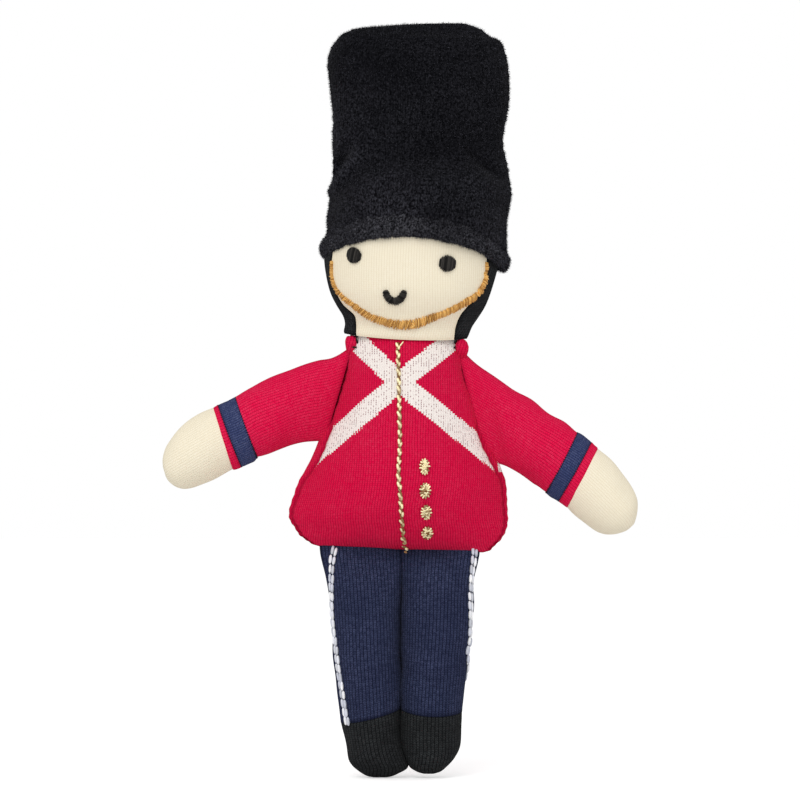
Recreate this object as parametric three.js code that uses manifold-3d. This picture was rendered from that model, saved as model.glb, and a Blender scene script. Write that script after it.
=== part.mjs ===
// Knitted guardsman doll: a limp cloth doll, 235 mm tall, filled with polyester fibre.
//
// Millimetres, +Z up. The doll faces -Y and its own left hand is at +X. The origin lies on the
// level of the boot soles, midway between the two hands.
//
// Every stuffed form is a row of ribs. A rib is a chord between two points of the form's outline,
// seen from the front, with the form's half depth at the middle of the chord. The knitted skins
// are walls round those ribs and the filling is a core inside them.
import * as THREE from 'three';
import { mergeVertices } from 'three/addons/utils/BufferGeometryUtils.js';
import Module from 'manifold-3d';

const wasm = await Module();
wasm.setup();

// Fabric and clearances
const wall = 0.9; // thickness of the knitted skin
const seat = 0.3; // clearance between two pieces that are sewn together
const hingeGap = 0.8; // clearance at a sewn line that folds
const seamEdge = 0.9; // half depth of a form where it is sewn flat

// Heights, from the boot soles upward
const legLength = 71.2;
const tunicHeight = 63.4;
const headHeight = 56.4; // neck seam to the crease of the hat
const crownHeight = 41.8;
const bootHeight = 20.8;

// Half widths and half depths
const hemHalfWidth = 34.1;
const shoulderHalfWidth = 17.2;
const torsoHalfDepth = 17.5;
const headHalfWidth = 27;
const headHalfDepth = 18.2;
const hatHalfWidth = 28.9;
const hatHalfDepth = 20;
const crownHalfWidth = 28.6;
const crownHalfDepth = 13.5;
const legHalfDepth = 8.4;
const armHalfDepth = 8.6;

// Hat hem: a rolled edge that rises over the brow
const hemHeight = 7.6;
const hemThickness = 2.4;
const hemAboveNeck = 27.9; // neck seam to the middle of the roll, at the ears
const browRise = 7.8;
const hemTilt = 0.047; // fall of the hem for each millimetre towards the doll's left

// Arms
const shoulderDrop = 1.2; // top of the tunic to the top of the shoulder seam
const sleeveEndWidth = 20.4;
const cuffBandWidth = 22.2;
const cuffBandLength = 4.8;
const cuffEdgeWidth = 21.4;
const cuffEdgeLength = 1.9;
const handWidth = 19.6;
const handLength = 20.3;
const rightArm = { side: -1, seamLength: 29.1, length: 28.8, drop: 21, tilt: 20.3, handDrop: 21 };
const leftArm = { side: 1, seamLength: 33.4, length: 31.8, drop: 36.8, tilt: 28.6, handDrop: 44 };

// Legs
const legTopWidth = 25.2;
const legGap = 0.8; // between the two legs
const rightBootSlant = 6.9; // the boot top runs down towards the outside
const leftBootSlant = 3.1;

// Face, at distances from the neck seam
const faceTurn = 28; // degrees from the side seam round to the edge of the face panel
const eyeSize = 5;
const eyeRelief = 1;
const rightEye = { x: -14.4, up: 27.1 };
const leftEye = { x: 14.8, up: 24.3 };
const mouth = { x: -1.4, up: 13.1, width: 5.6, sag: 2.4, tilt: -1 };
const mouthWidth = 2.1;
const strapWidth = 2.7;
const strapRelief = 1;
const strap = { leftX: 26.4, rightX: -21.2, endUp: 24.6, chinX: 3.2, chinUp: 5.4 };

// Gold work on the tunic
const placketWidth = 1.8;
const placketRelief = 0.8;
const placketX = 0.2;
const buttonWidth = 3.6;
const buttonHeight = 5.2;
const buttonRelief = 1.3;
const buttonX = 8.1;
const buttonPitch = 7;
const lowestButtonUp = 4.6; // tunic bottom seam to the middle of the lowest button

// Leg stripes
const stripeWidth = 2.2;
const stripeRelief = 0.8;

// Depth of the flat where the doll lies on its back
const backFlat = 0.5;

// Levels
const tunicBottom = legLength + hingeGap;
const tunicTop = tunicBottom + tunicHeight;
const headBottom = tunicTop + hingeGap;
const headTop = headBottom + headHeight;
const crownBottom = headTop + hingeGap;
const crownTop = crownBottom + crownHeight;
const hemZ = headBottom + hemAboveNeck;
const hatBottom = hemZ + hemHeight / 2 + seat;
const legTop = legLength;

// The doll leans a little to its left, most of all at the hat
const leanCurve = new THREE.SplineCurve([
  new THREE.Vector2(tunicBottom, 0.3),
  new THREE.Vector2(tunicBottom + tunicHeight * 0.16, -0.6),
  new THREE.Vector2(tunicBottom + tunicHeight * 0.52, 1.2),
  new THREE.Vector2(tunicTop, 1.8),
  new THREE.Vector2(headBottom + headHeight * 0.2, 3.4),
  new THREE.Vector2(hemZ, 4.5),
  new THREE.Vector2(headBottom + headHeight * 0.87, 6),
  new THREE.Vector2(crownTop, 5.8),
]);
const leanSamples = leanCurve.getPoints(160);

function lean(z) {
  let nearest = leanSamples[0];
  for (const sample of leanSamples) {
    if (Math.abs(sample.x - z) < Math.abs(nearest.x - z)) nearest = sample;
  }
  return nearest.y;
}

// Ribs

function rib(a, b, depth, arch = 0) {
  return { a, b, depth, arch };
}

function point(x, z) {
  return new THREE.Vector2(x, z);
}

function levelRib(z, halfWidth, depth, arch = 0, tilt = 0) {
  const middle = lean(z);
  const fall = halfWidth * tilt;
  return rib(point(middle - halfWidth, z + fall), point(middle + halfWidth, z - fall), depth, arch);
}

// A point on the surface round a rib: turn 0 is the end b, 90 the front, 180 the end a
function onRib(r, turn, shape) {
  const angle = THREE.MathUtils.degToRad(turn);
  const along = Math.cos(angle);
  const across = Math.sin(angle);
  const inset = shape.inset ?? 0;
  const parting = shape.parting ?? 0;
  const half = point((r.b.x - r.a.x) / 2, (r.b.y - r.a.y) / 2);
  const reach = Math.max(half.length() - inset * shape.edge, 0.2) / half.length();
  const depth = Math.max(r.depth - inset, 0.2);
  const swell = Math.max(depth - parting, 0.05) * Math.abs(across) ** shape.puff;
  let y = -Math.sign(across) * (parting + swell);
  if (Math.abs(across) < 1e-9) y = shape.partingSide ? -shape.partingSide * parting : 0;
  return new THREE.Vector3(
    (r.a.x + r.b.x) / 2 + half.x * along * reach,
    y,
    (r.a.y + r.b.y) / 2 + half.y * along * reach + r.arch * Math.max(across, 0) ** 1.5,
  );
}

function ring(r, steps, shape) {
  const points = [];
  for (let i = 0; i < steps; i += 1) points.push(onRib(r, (360 * i) / steps, shape));
  return points;
}

function arc(r, from, to, steps, shape) {
  const points = [];
  for (let i = 0; i <= steps; i += 1) points.push(onRib(r, from + ((to - from) * i) / steps, shape));
  return points;
}

// A smooth form through its ribs
class Form {
  constructor(ribs) {
    const curve = (end) => new THREE.CatmullRomCurve3(
      ribs.map((r) => new THREE.Vector3(r[end].x, r.depth, r[end].y)), false, 'catmullrom', 0.5,
    );
    this.a = curve('a');
    this.b = curve('b');
    this.arches = ribs.map((r) => r.arch);
  }

  rib(t) {
    const a = this.a.getPoint(t);
    const b = this.b.getPoint(t);
    const place = t * (this.arches.length - 1);
    const low = Math.min(Math.floor(place), this.arches.length - 2);
    const arch = THREE.MathUtils.lerp(this.arches[low], this.arches[low + 1], place - low);
    return rib(point(a.x, a.z), point(b.x, b.z), (a.y + b.y) / 2, arch);
  }

  // The station whose middle lies at a height
  stationAt(z) {
    let low = 0;
    let high = 1;
    const rising = this.a.getPoint(1).z > this.a.getPoint(0).z;
    for (let i = 0; i < 30; i += 1) {
      const middle = (low + high) / 2;
      const r = this.rib(middle);
      const below = (r.a.y + r.b.y) / 2 < z;
      if (below === rising) low = middle;
      else high = middle;
    }
    return low;
  }

  surface(t, turn, shape) {
    return onRib(this.rib(t), turn, shape);
  }

  normal(t, turn, shape) {
    const dt = t > 0.5 ? -1e-3 : 1e-3;
    const here = this.surface(t, turn, shape);
    const alongForm = this.surface(t + dt, turn, shape).sub(here);
    const roundForm = this.surface(t, turn + 0.5, shape).sub(here);
    const n = alongForm.cross(roundForm).normalize();
    const r = this.rib(t);
    const outward = here.clone().sub(new THREE.Vector3((r.a.x + r.b.x) / 2, 0, here.z));
    return n.dot(outward) < 0 ? n.negate() : n;
  }

  // Where a front view point (x, z) lies on the front of the form
  front(x, z, shape) {
    let height = z;
    let turn = 90;
    let t = 0;
    for (let i = 0; i < 8; i += 1) {
      t = this.stationAt(height);
      const r = this.rib(t);
      const half = (r.b.x - r.a.x) / 2;
      const share = THREE.MathUtils.clamp((x - (r.a.x + r.b.x) / 2) / half, -0.995, 0.995);
      turn = THREE.MathUtils.radToDeg(Math.acos(share));
      height += z - this.surface(t, turn, shape).z;
    }
    return { point: this.surface(t, turn, shape), normal: this.normal(t, turn, shape) };
  }
}

// Closed bodies

function solid(points, faces) {
  let volume = 0;
  for (const [i, j, k] of faces) volume += points[i].dot(points[j].clone().cross(points[k]));
  const ordered = volume < 0 ? faces.map(([i, j, k]) => [k, j, i]) : faces;
  const geometry = new THREE.BufferGeometry();
  geometry.setAttribute('position', new THREE.Float32BufferAttribute(points.flatMap((p) => p.toArray()), 3));
  geometry.setIndex(ordered.flat());
  geometry.computeVertexNormals();
  return geometry;
}

function quad(a, b, c, d) {
  return [[a, b, c], [a, c, d]];
}

function centreOf(points) {
  const sum = new THREE.Vector3();
  for (const p of points) sum.add(p);
  return sum.divideScalar(points.length);
}

// A solid through closed rings, with a fan over each end
function core(rings) {
  const columns = rings[0].length;
  const last = rings.length - 1;
  const points = [...rings.flat(), centreOf(rings[0]), centreOf(rings[last])];
  const at = (row, column) => row * columns + (column % columns);
  const faces = [];
  for (let c = 0; c < columns; c += 1) {
    for (let r = 0; r < last; r += 1) {
      faces.push(...quad(at(r, c), at(r, c + 1), at(r + 1, c + 1), at(r + 1, c)));
    }
    faces.push([at(0, c + 1), at(0, c), points.length - 2]);
    faces.push([at(last, c), at(last, c + 1), points.length - 1]);
  }
  return solid(points, faces);
}

// A skin between outer and inner rings; each end is open, with a rim, or closed
function sleeveSkin(outer, inner, openStart, openEnd) {
  const columns = outer[0].length;
  const points = [...outer.flat(), ...inner.flat()];
  const base = outer.length * columns;
  const lastOut = outer.length - 1;
  const lastIn = inner.length - 1;
  const out = (row, column) => row * columns + (column % columns);
  const inn = (row, column) => base + row * columns + (column % columns);
  const faces = [];
  for (let c = 0; c < columns; c += 1) {
    for (let r = 0; r < lastOut; r += 1) {
      faces.push(...quad(out(r, c), out(r, c + 1), out(r + 1, c + 1), out(r + 1, c)));
    }
    for (let r = 0; r < lastIn; r += 1) {
      faces.push(...quad(inn(r, c), inn(r + 1, c), inn(r + 1, c + 1), inn(r, c + 1)));
    }
    if (openStart) faces.push(...quad(out(0, c + 1), out(0, c), inn(0, c), inn(0, c + 1)));
    if (openEnd) {
      faces.push(...quad(out(lastOut, c), out(lastOut, c + 1), inn(lastIn, c + 1), inn(lastIn, c)));
    }
  }
  if (!openStart) {
    points.push(centreOf(outer[0]), centreOf(inner[0]));
    for (let c = 0; c < columns; c += 1) {
      faces.push([out(0, c + 1), out(0, c), points.length - 2]);
      faces.push([inn(0, c), inn(0, c + 1), points.length - 1]);
    }
  }
  if (!openEnd) {
    points.push(centreOf(outer[lastOut]), centreOf(inner[lastIn]));
    for (let c = 0; c < columns; c += 1) {
      faces.push([out(lastOut, c), out(lastOut, c + 1), points.length - 2]);
      faces.push([inn(lastIn, c + 1), inn(lastIn, c), points.length - 1]);
    }
  }
  return solid(points, faces);
}

// A panel of fabric between an outer and an inner sheet of points, with a rim all round
function panelSkin(outer, inner) {
  const rows = outer.length;
  const columns = outer[0].length;
  const points = [...outer.flat(), ...inner.flat()];
  const out = (row, column) => row * columns + column;
  const inn = (row, column) => (rows + row) * columns + column;
  const faces = [];
  for (let c = 0; c < columns - 1; c += 1) {
    for (let r = 0; r < rows - 1; r += 1) {
      faces.push(...quad(out(r, c), out(r, c + 1), out(r + 1, c + 1), out(r + 1, c)));
      faces.push(...quad(inn(r, c), inn(r + 1, c), inn(r + 1, c + 1), inn(r, c + 1)));
    }
    faces.push(...quad(out(0, c + 1), out(0, c), inn(0, c), inn(0, c + 1)));
    const end = rows - 1;
    faces.push(...quad(out(end, c), out(end, c + 1), inn(end, c + 1), inn(end, c)));
  }
  const side = columns - 1;
  for (let r = 0; r < rows - 1; r += 1) {
    faces.push(...quad(out(r, 0), out(r + 1, 0), inn(r + 1, 0), inn(r, 0)));
    faces.push(...quad(out(r + 1, side), out(r, side), inn(r, side), inn(r + 1, side)));
  }
  return solid(points, faces);
}

// A closed roll through sections that come back to the first one
function roll(sections) {
  const rows = sections.length;
  const columns = sections[0].length;
  const at = (row, column) => (row % rows) * columns + (column % columns);
  const faces = [];
  for (let r = 0; r < rows; r += 1) {
    for (let c = 0; c < columns; c += 1) {
      faces.push(...quad(at(r, c), at(r, c + 1), at(r + 1, c + 1), at(r + 1, c)));
    }
  }
  return solid(sections.flat(), faces);
}

// Stitching that follows a surface: a low ridge along places with a point and a normal
function ridge(places, width, relief) {
  const sections = places.map((place, i) => {
    const before = places[Math.max(i - 1, 0)].point;
    const after = places[Math.min(i + 1, places.length - 1)].point;
    const along = after.clone().sub(before).normalize();
    const across = along.clone().cross(place.normal).normalize();
    const share = typeof width === 'function' ? width(i / (places.length - 1)) : width;
    const corner = (side, up) => place.point.clone()
      .addScaledVector(across, (side * share) / 2)
      .addScaledVector(place.normal, up);
    return [corner(-1, seat), corner(1, seat), corner(0.6, seat + relief), corner(-0.6, seat + relief)];
  });
  return core(sections);
}

// A raised satin stitch patch: an oval dome on a surface
function patch(form, shape, centre, width, height, relief, tiltDegrees = 0) {
  const steps = 14;
  const tilt = THREE.MathUtils.degToRad(tiltDegrees);
  const oval = (share, lift) => {
    const points = [];
    for (let i = 0; i < steps; i += 1) {
      const angle = (2 * Math.PI * i) / steps;
      const dx = (Math.cos(angle) * width * share) / 2;
      const dz = (Math.sin(angle) * height * share) / 2;
      const x = centre.x + dx * Math.cos(tilt) - dz * Math.sin(tilt);
      const z = centre.y + dx * Math.sin(tilt) + dz * Math.cos(tilt);
      const place = form.front(x, z, shape);
      points.push(place.point.addScaledVector(place.normal, lift));
    }
    return points;
  };
  return core([oval(1, seat), oval(0.78, seat + relief * 0.75), oval(0.35, seat + relief)]);
}

function manifoldOf(geometry) {
  return new wasm.Manifold(new wasm.Mesh({
    numProp: 3,
    vertProperties: new Float32Array(geometry.attributes.position.array),
    triVerts: new Uint32Array(geometry.index.array),
  }));
}

// Cuts a body off flat behind the plane at y
function cutBehind(geometry, y) {
  const reach = 4 * (hemHalfWidth + tunicTop);
  const block = new THREE.BoxGeometry(reach, reach, reach).translate(0, y + reach / 2, 0);
  block.deleteAttribute('normal');
  block.deleteAttribute('uv');
  const cut = manifoldOf(geometry).subtract(manifoldOf(mergeVertices(block))).getMesh();
  const flat = new THREE.BufferGeometry();
  flat.setAttribute('position', new THREE.Float32BufferAttribute(cut.vertProperties, cut.numProp));
  flat.setIndex(Array.from(cut.triVerts));
  flat.computeVertexNormals();
  return flat;
}

// Materials
function fabric(colour, roughness = 0.92, metalness = 0) {
  return new THREE.MeshStandardMaterial({ color: colour, roughness, metalness });
}
const redKnit = fabric('#c9163a');
const navyKnit = fabric('#232c4a');
const blackKnit = fabric('#17181c');
const creamKnit = fabric('#eadfc4');
const blackVelour = fabric('#141418', 0.98);
const goldThread = fabric('#b98f3c', 0.45, 0.6);
const tanThread = fabric('#bd8a3e', 0.6);
const blackThread = fabric('#101012', 0.55);
const whiteThread = fabric('#e4e2e6', 0.4, 0.2);
const filling = fabric('#f4f3ef', 1);

const doll = new THREE.Group();

function add(name, geometry, material) {
  const mesh = new THREE.Mesh(geometry, material);
  mesh.name = name;
  doll.add(mesh);
}

// Profiles: share of the height, share of the width, share of the depth

const torsoProfile = [
  [0, 0.58, 0], [0.0315, 0.686, 0.27], [0.066, 0.81, 0.5], [0.11, 0.935, 0.74],
  [0.167, 1, 0.91], [0.252, 0.935, 1], [0.363, 0.781, 0.98], [0.52, 0.544, 0.9],
  [0.678, 0.331, 0.79], [0.82, 0.183, 0.64], [0.923, 0.083, 0.43], [0.972, 0.024, 0.24], [1, 0, 0],
];
const torsoRibs = torsoProfile.map(([up, wide, deep]) => levelRib(
  tunicBottom + tunicHeight * up,
  THREE.MathUtils.lerp(shoulderHalfWidth, hemHalfWidth, wide),
  THREE.MathUtils.lerp(seamEdge, torsoHalfDepth, deep),
));
const torso = new Form(torsoRibs);
const torsoShape = { puff: 1.8, edge: 1.4 };

const headProfile = [
  [0, 0.692, 0], [0.032, 0.714, 0.24], [0.076, 0.733, 0.45], [0.129, 0.758, 0.65],
  [0.191, 0.839, 0.81], [0.262, 0.916, 0.91], [0.351, 0.974, 0.97], [0.457, 0.996, 1],
  [0.582, 1, 1], [0.688, 0.993, 0.965], [0.794, 0.974, 0.86], [0.883, 0.938, 0.65],
  [0.943, 0.901, 0.37], [0.972, 0.879, 0.1],
];
const facePanelRibs = 9; // the neck seam up to inside the hat
const browStart = 0.25;
function browArch(up) {
  const hemShare = hemAboveNeck / headHeight;
  return browRise * THREE.MathUtils.clamp((up - browStart) / (hemShare - browStart), 0, 1);
}
const headRibs = headProfile.map(([up, wide, deep]) => levelRib(
  headBottom + headHeight * up,
  headHalfWidth * wide,
  THREE.MathUtils.lerp(seamEdge, headHalfDepth, deep),
));
const faceRibs = headProfile.slice(0, facePanelRibs).map(([up], i) => ({
  ...headRibs[i],
  arch: browArch(up),
}));
const face = new Form(faceRibs);
const headShape = { puff: 1.25, edge: 1.1 };

const hatBaseProfile = [
  [0, 1, 1, 1], [0.24, 0.997, 0.98, 0.75], [0.486, 0.993, 0.9, 0.45], [0.69, 0.983, 0.73, 0.2],
  [0.853, 0.962, 0.47, 0.05], [0.951, 0.941, 0.23, 0], [1, 0.931, 0, 0],
];
const hatBaseRibs = hatBaseProfile.map(([up, wide, deep, arch]) => levelRib(
  THREE.MathUtils.lerp(hatBottom, headTop, up),
  hatHalfWidth * wide,
  THREE.MathUtils.lerp(seamEdge, hatHalfDepth, deep),
  browRise * arch,
  hemTilt * arch,
));

const crownProfile = [
  [0, 0.937, 0], [0.038, 0.934, 0.33], [0.098, 0.934, 0.56], [0.182, 0.941, 0.76],
  [0.325, 0.965, 0.93], [0.517, 0.993, 1], [0.684, 1, 0.99], [0.828, 0.965, 0.88],
  [0.923, 0.881, 0.63], [0.976, 0.752, 0.33], [1, 0.612, 0.04],
];
const crownRibs = crownProfile.map(([up, wide, deep]) => levelRib(
  crownBottom + crownHeight * up,
  crownHalfWidth * wide,
  THREE.MathUtils.lerp(seamEdge, crownHalfDepth, deep),
));
const crownShape = { puff: 1.3, edge: 1.1 };

// Panels: the skin over a range of turns round a row of ribs
const panelSteps = 12;

function panel(ribs, from, to, shape) {
  const outer = ribs.map((r) => arc(r, from, to, panelSteps, shape));
  const inner = ribs.map((r) => arc(r, from, to, panelSteps, { ...shape, inset: wall }));
  return panelSkin(outer, inner);
}

const frontSide = { parting: seat / 2, partingSide: 1 };
const backSide = { parting: seat / 2, partingSide: -1 };

// The filling inside a row of ribs, clear of the skin
function fillingIn(ribs, steps, shape) {
  const inset = wall + seat + 0.2;
  return core(ribs.map((r) => ring(r, steps, { ...shape, inset })));
}

// Leaves out the ribs that are too thin to hold filling
function holdsFilling(r) {
  return r.depth > wall * 2 + seat + 1;
}

// Tunic
add('tunic_front', panel(torsoRibs, 0, 180, { ...torsoShape, ...frontSide }), redKnit);
const roundedBack = panel(torsoRibs, 180, 360, { ...torsoShape, ...backSide });
add('tunic_back', cutBehind(roundedBack, torsoHalfDepth - backFlat), redKnit);
add('torso_stuffing', fillingIn(torsoRibs.filter(holdsFilling), 20, torsoShape), filling);

// Gold chain stitch down the middle of the tunic
const placketPlaces = [];
const placketSteps = 16;
const placketMargin = 2.4; // from the neck seam and from the bottom seam
for (let i = 0; i <= placketSteps; i += 1) {
  const z = THREE.MathUtils.lerp(tunicBottom + placketMargin, tunicTop - placketMargin, i / placketSteps);
  placketPlaces.push(torso.front(placketX, z, torsoShape));
}
add('placket_stitching', ridge(placketPlaces, placketWidth, placketRelief), goldThread);

// Gold satin stitch buttons, numbered from the top
const buttonCount = 4;
for (let i = 0; i < buttonCount; i += 1) {
  const z = tunicBottom + lowestButtonUp + buttonPitch * (buttonCount - 1 - i);
  const button = patch(torso, torsoShape, point(buttonX, z), buttonWidth, buttonHeight, buttonRelief);
  add(`tunic_button_${i + 1}`, button, goldThread);
}

// Head
const seamTurn = 0.9; // half the gap between the face panel and the back of the head, in degrees
const faceFrom = faceTurn + seamTurn;
add('face_panel', panel(faceRibs, faceFrom, 180 - faceFrom, headShape), creamKnit);
const headBackRibs = headRibs.slice(0, facePanelRibs);
const backFrom = 180 - faceTurn + seamTurn;
add('head_back', panel(headBackRibs, backFrom, 540 - backFrom, headShape), blackKnit);
add('head_stuffing', fillingIn(headRibs.filter(holdsFilling), 20, headShape), filling);

// Face embroidery
function onFace(x, up) {
  return face.front(x, headBottom + up, headShape);
}
for (const [name, eye] of [['right_eye', rightEye], ['left_eye', leftEye]]) {
  const centre = point(eye.x, headBottom + eye.up);
  add(name, patch(face, headShape, centre, eyeSize, eyeSize, eyeRelief), blackThread);
}

const mouthPlaces = [];
const mouthSteps = 10;
for (let i = 0; i <= mouthSteps; i += 1) {
  const share = (2 * i) / mouthSteps - 1;
  const tilt = THREE.MathUtils.degToRad(mouth.tilt);
  const dx = (share * mouth.width) / 2;
  const dz = -mouth.sag * (1 - share ** 2);
  mouthPlaces.push(onFace(
    mouth.x + dx * Math.cos(tilt) - dz * Math.sin(tilt),
    mouth.up + mouth.sag + dx * Math.sin(tilt) + dz * Math.cos(tilt),
  ));
}
const crescent = (t) => mouthWidth * (0.45 + 0.55 * Math.sin(Math.PI * t));
add('mouth_stitching', ridge(mouthPlaces, crescent, eyeRelief), blackThread);

// The chin strap hangs in a curve from hem to hem
const strapPlaces = [];
const strapSteps = 26;
for (let i = 0; i <= strapSteps; i += 1) {
  const angle = Math.PI * (1 - i / strapSteps);
  const across = Math.cos(angle);
  const reach = across < 0 ? strap.chinX - strap.rightX : strap.leftX - strap.chinX;
  strapPlaces.push(onFace(
    strap.chinX + reach * across,
    THREE.MathUtils.lerp(strap.endUp, strap.chinUp, Math.sin(angle)),
  ));
}
const strapTaper = (t) => strapWidth * (0.45 + 0.55 * Math.sin(Math.PI * t) ** 0.7);
add('chin_strap', ridge(strapPlaces, strapTaper, strapRelief), tanThread);

// Hat base: the plush that covers the top of the head
add('hat_base_front', panel(hatBaseRibs, 0, 180, { ...headShape, ...frontSide }), blackVelour);
add('hat_base_back', panel(hatBaseRibs, 180, 360, { ...headShape, ...backSide }), blackVelour);

// Hat hem: a roll round the head, under the hat base
const hemSteps = 32;
const hemSides = 8;
const hemSections = [];
const hemRib = levelRib(hemZ, headHalfWidth, headHalfDepth, browRise, hemTilt);
for (let i = 0; i < hemSteps; i += 1) {
  const turn = (360 * i) / hemSteps;
  const section = [];
  for (let k = 0; k < hemSides; k += 1) {
    const angle = (2 * Math.PI * k) / hemSides;
    const out = seat + (hemThickness / 2) * (1 + Math.cos(angle));
    const at = onRib(hemRib, turn, { ...headShape, inset: -out, edge: 1 });
    at.z += (hemHeight / 2) * Math.sin(angle);
    section.push(at);
  }
  hemSections.push(section);
}
add('hat_hem', roll(hemSections), blackVelour);

// Hat crown: the part above the crease
add('hat_crown_front', panel(crownRibs, 0, 180, { ...crownShape, ...frontSide }), blackVelour);
add('hat_crown_back', panel(crownRibs, 180, 360, { ...crownShape, ...backSide }), blackVelour);
add('hat_crown_stuffing', fillingIn(crownRibs.filter(holdsFilling), 20, crownShape), filling);

// Arms

const limbShape = { puff: 1.2, edge: 1 };
const limbSteps = 16;

function direction(degreesBelowLevel, side) {
  const angle = THREE.MathUtils.degToRad(degreesBelowLevel);
  return point(side * Math.cos(angle), -Math.sin(angle));
}

// A rib across a limb, square to the direction that it tilts with
function crossRib(centre, width, tilt, side, depth) {
  const out = direction(tilt, side);
  const half = point(-out.y * side, out.x * side).multiplyScalar(width / 2);
  return rib(centre.clone().sub(half), centre.clone().add(half), depth);
}

function along(start, heading, distance) {
  return start.clone().addScaledVector(heading, distance);
}

function torsoEdge(z, side) {
  const r = torso.rib(torso.stationAt(z));
  return side < 0 ? r.a.x : r.b.x;
}

// The sewn line at the shoulder, and the line outside it where the sleeve starts
function shoulderSeam(arm) {
  const topZ = tunicTop - shoulderDrop;
  const lowZ = topZ - arm.seamLength;
  const onEdge = (z, out) => point(torsoEdge(z, arm.side) + arm.side * out, z);
  return { top: onEdge(topZ, hingeGap), low: onEdge(lowZ, hingeGap) };
}

function shrink(ribs, inset) {
  return ribs.map((r) => ring(r, limbSteps, { ...limbShape, inset }));
}

function wholeRings(ribs) {
  return ribs.map((r) => ring(r, limbSteps, limbShape));
}

// Sleeve: flat at the shoulder seam, full in the middle
const sleeveProfile = [
  [0, 0.06, 0], [0.07, 0.3, 0.2], [0.2, 0.68, 0.5], [0.4, 0.93, 0.9],
  [0.62, 1, 1], [0.84, 0.95, 0.5], [1, 0.88, 0],
];
const sleeveSwell = 1.2; // how far the middle of a sleeve stands outside a straight line
const sleeveHollowFrom = 0.13;
// Hand: a mitten shape with a round end
const handProfile = [
  [0, 0.95, 0.85], [0.25, 1, 0.9], [0.5, 0.99, 0.88], [0.7, 0.9, 0.8],
  [0.86, 0.72, 0.64], [0.96, 0.45, 0.4], [1, 0.2, 0.16],
];
const cuffDepthShare = 0.9;

function buildArm(name, arm) {
  const seam = shoulderSeam(arm);
  const heading = direction(arm.drop, arm.side);
  const middle = seam.top.clone().add(seam.low).multiplyScalar(0.5);
  const sleeveEnd = along(middle, heading, arm.length);
  const endRib = crossRib(sleeveEnd, sleeveEndWidth, arm.tilt, arm.side, armHalfDepth);

  const sleeveRib = (share, deep, swell) => {
    const a = seam.low.clone().lerp(endRib.a, share);
    const b = seam.top.clone().lerp(endRib.b, share);
    const out = b.clone().sub(a).normalize().multiplyScalar(sleeveSwell * swell);
    return rib(a.sub(out), b.add(out), armHalfDepth * deep);
  };
  const sleeveRibs = sleeveProfile.map(([share, deep, swell]) => sleeveRib(share, deep, swell));
  const hollowRibs = [
    sleeveRib(sleeveHollowFrom, 0.5, 0.3),
    ...sleeveRibs.slice(2),
  ];
  add(`${name}_sleeve`, sleeveSkin(wholeRings(sleeveRibs), shrink(hollowRibs, wall), false, true), redKnit);

  // Cuff band: a navy welt that stands proud of the sleeve
  const cuffHeading = direction(arm.tilt, arm.side);
  const cuffDepth = armHalfDepth * cuffDepthShare;
  const cuffRib = (distance, width) => crossRib(
    along(sleeveEnd, cuffHeading, distance),
    width, arm.tilt, arm.side, cuffDepth + (width - sleeveEndWidth) / 2,
  );
  const bandStart = seat;
  const bandEnd = bandStart + cuffBandLength;
  const bandRound = 1.2;
  const bandRibs = [
    cuffRib(bandStart, sleeveEndWidth),
    cuffRib(bandStart + bandRound, cuffBandWidth),
    cuffRib(bandEnd - bandRound, cuffBandWidth),
    cuffRib(bandEnd, sleeveEndWidth + 0.4),
  ];
  const boreRibs = (from, to) => [cuffRib(from, sleeveEndWidth), cuffRib(to, sleeveEndWidth)];
  const bandBore = shrink(boreRibs(bandStart, bandEnd), wall);
  add(`${name}_cuff_band`, sleeveSkin(wholeRings(bandRibs), bandBore, true, true), navyKnit);

  // Cuff edge: a narrow red rim that steps down to the hand
  const edgeStart = bandEnd + seat;
  const edgeEnd = edgeStart + cuffEdgeLength;
  const edgeRibs = [
    cuffRib(edgeStart, cuffEdgeWidth),
    cuffRib((edgeStart + edgeEnd) / 2, cuffEdgeWidth),
    cuffRib(edgeEnd, sleeveEndWidth),
  ];
  const edgeBore = shrink(boreRibs(edgeStart, edgeEnd), wall);
  add(`${name}_cuff_edge`, sleeveSkin(wholeRings(edgeRibs), edgeBore, true, true), redKnit);

  // Hand: it turns from the cuff's line into its own
  const handStart = along(sleeveEnd, cuffHeading, edgeEnd + seat);
  const handHeading = direction(arm.handDrop, arm.side);
  const handRibs = handProfile.map(([share, wide, deep]) => crossRib(
    along(handStart, share < 0.01 ? cuffHeading : handHeading, handLength * share),
    handWidth * wide,
    THREE.MathUtils.lerp(arm.tilt, arm.handDrop, Math.min(share * 2, 1)),
    arm.side,
    armHalfDepth * deep,
  ));
  const handInner = shrink(handRibs.slice(0, -2), wall);
  add(`${name}_hand`, sleeveSkin(wholeRings(handRibs), handInner, true, false), creamKnit);

  const coreInset = wall + seat + 0.2;
  const coreRibs = [
    sleeveRib(sleeveHollowFrom + 0.08, 0.66, 0.4),
    ...sleeveRibs.slice(3),
    cuffRib((bandStart + bandEnd) / 2, sleeveEndWidth),
    ...handRibs.slice(0, -3),
  ];
  add(`${name}_arm_stuffing`, core(shrink(coreRibs, coreInset)), filling);
}

buildArm('right', rightArm);
buildArm('left', leftArm);

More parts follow.
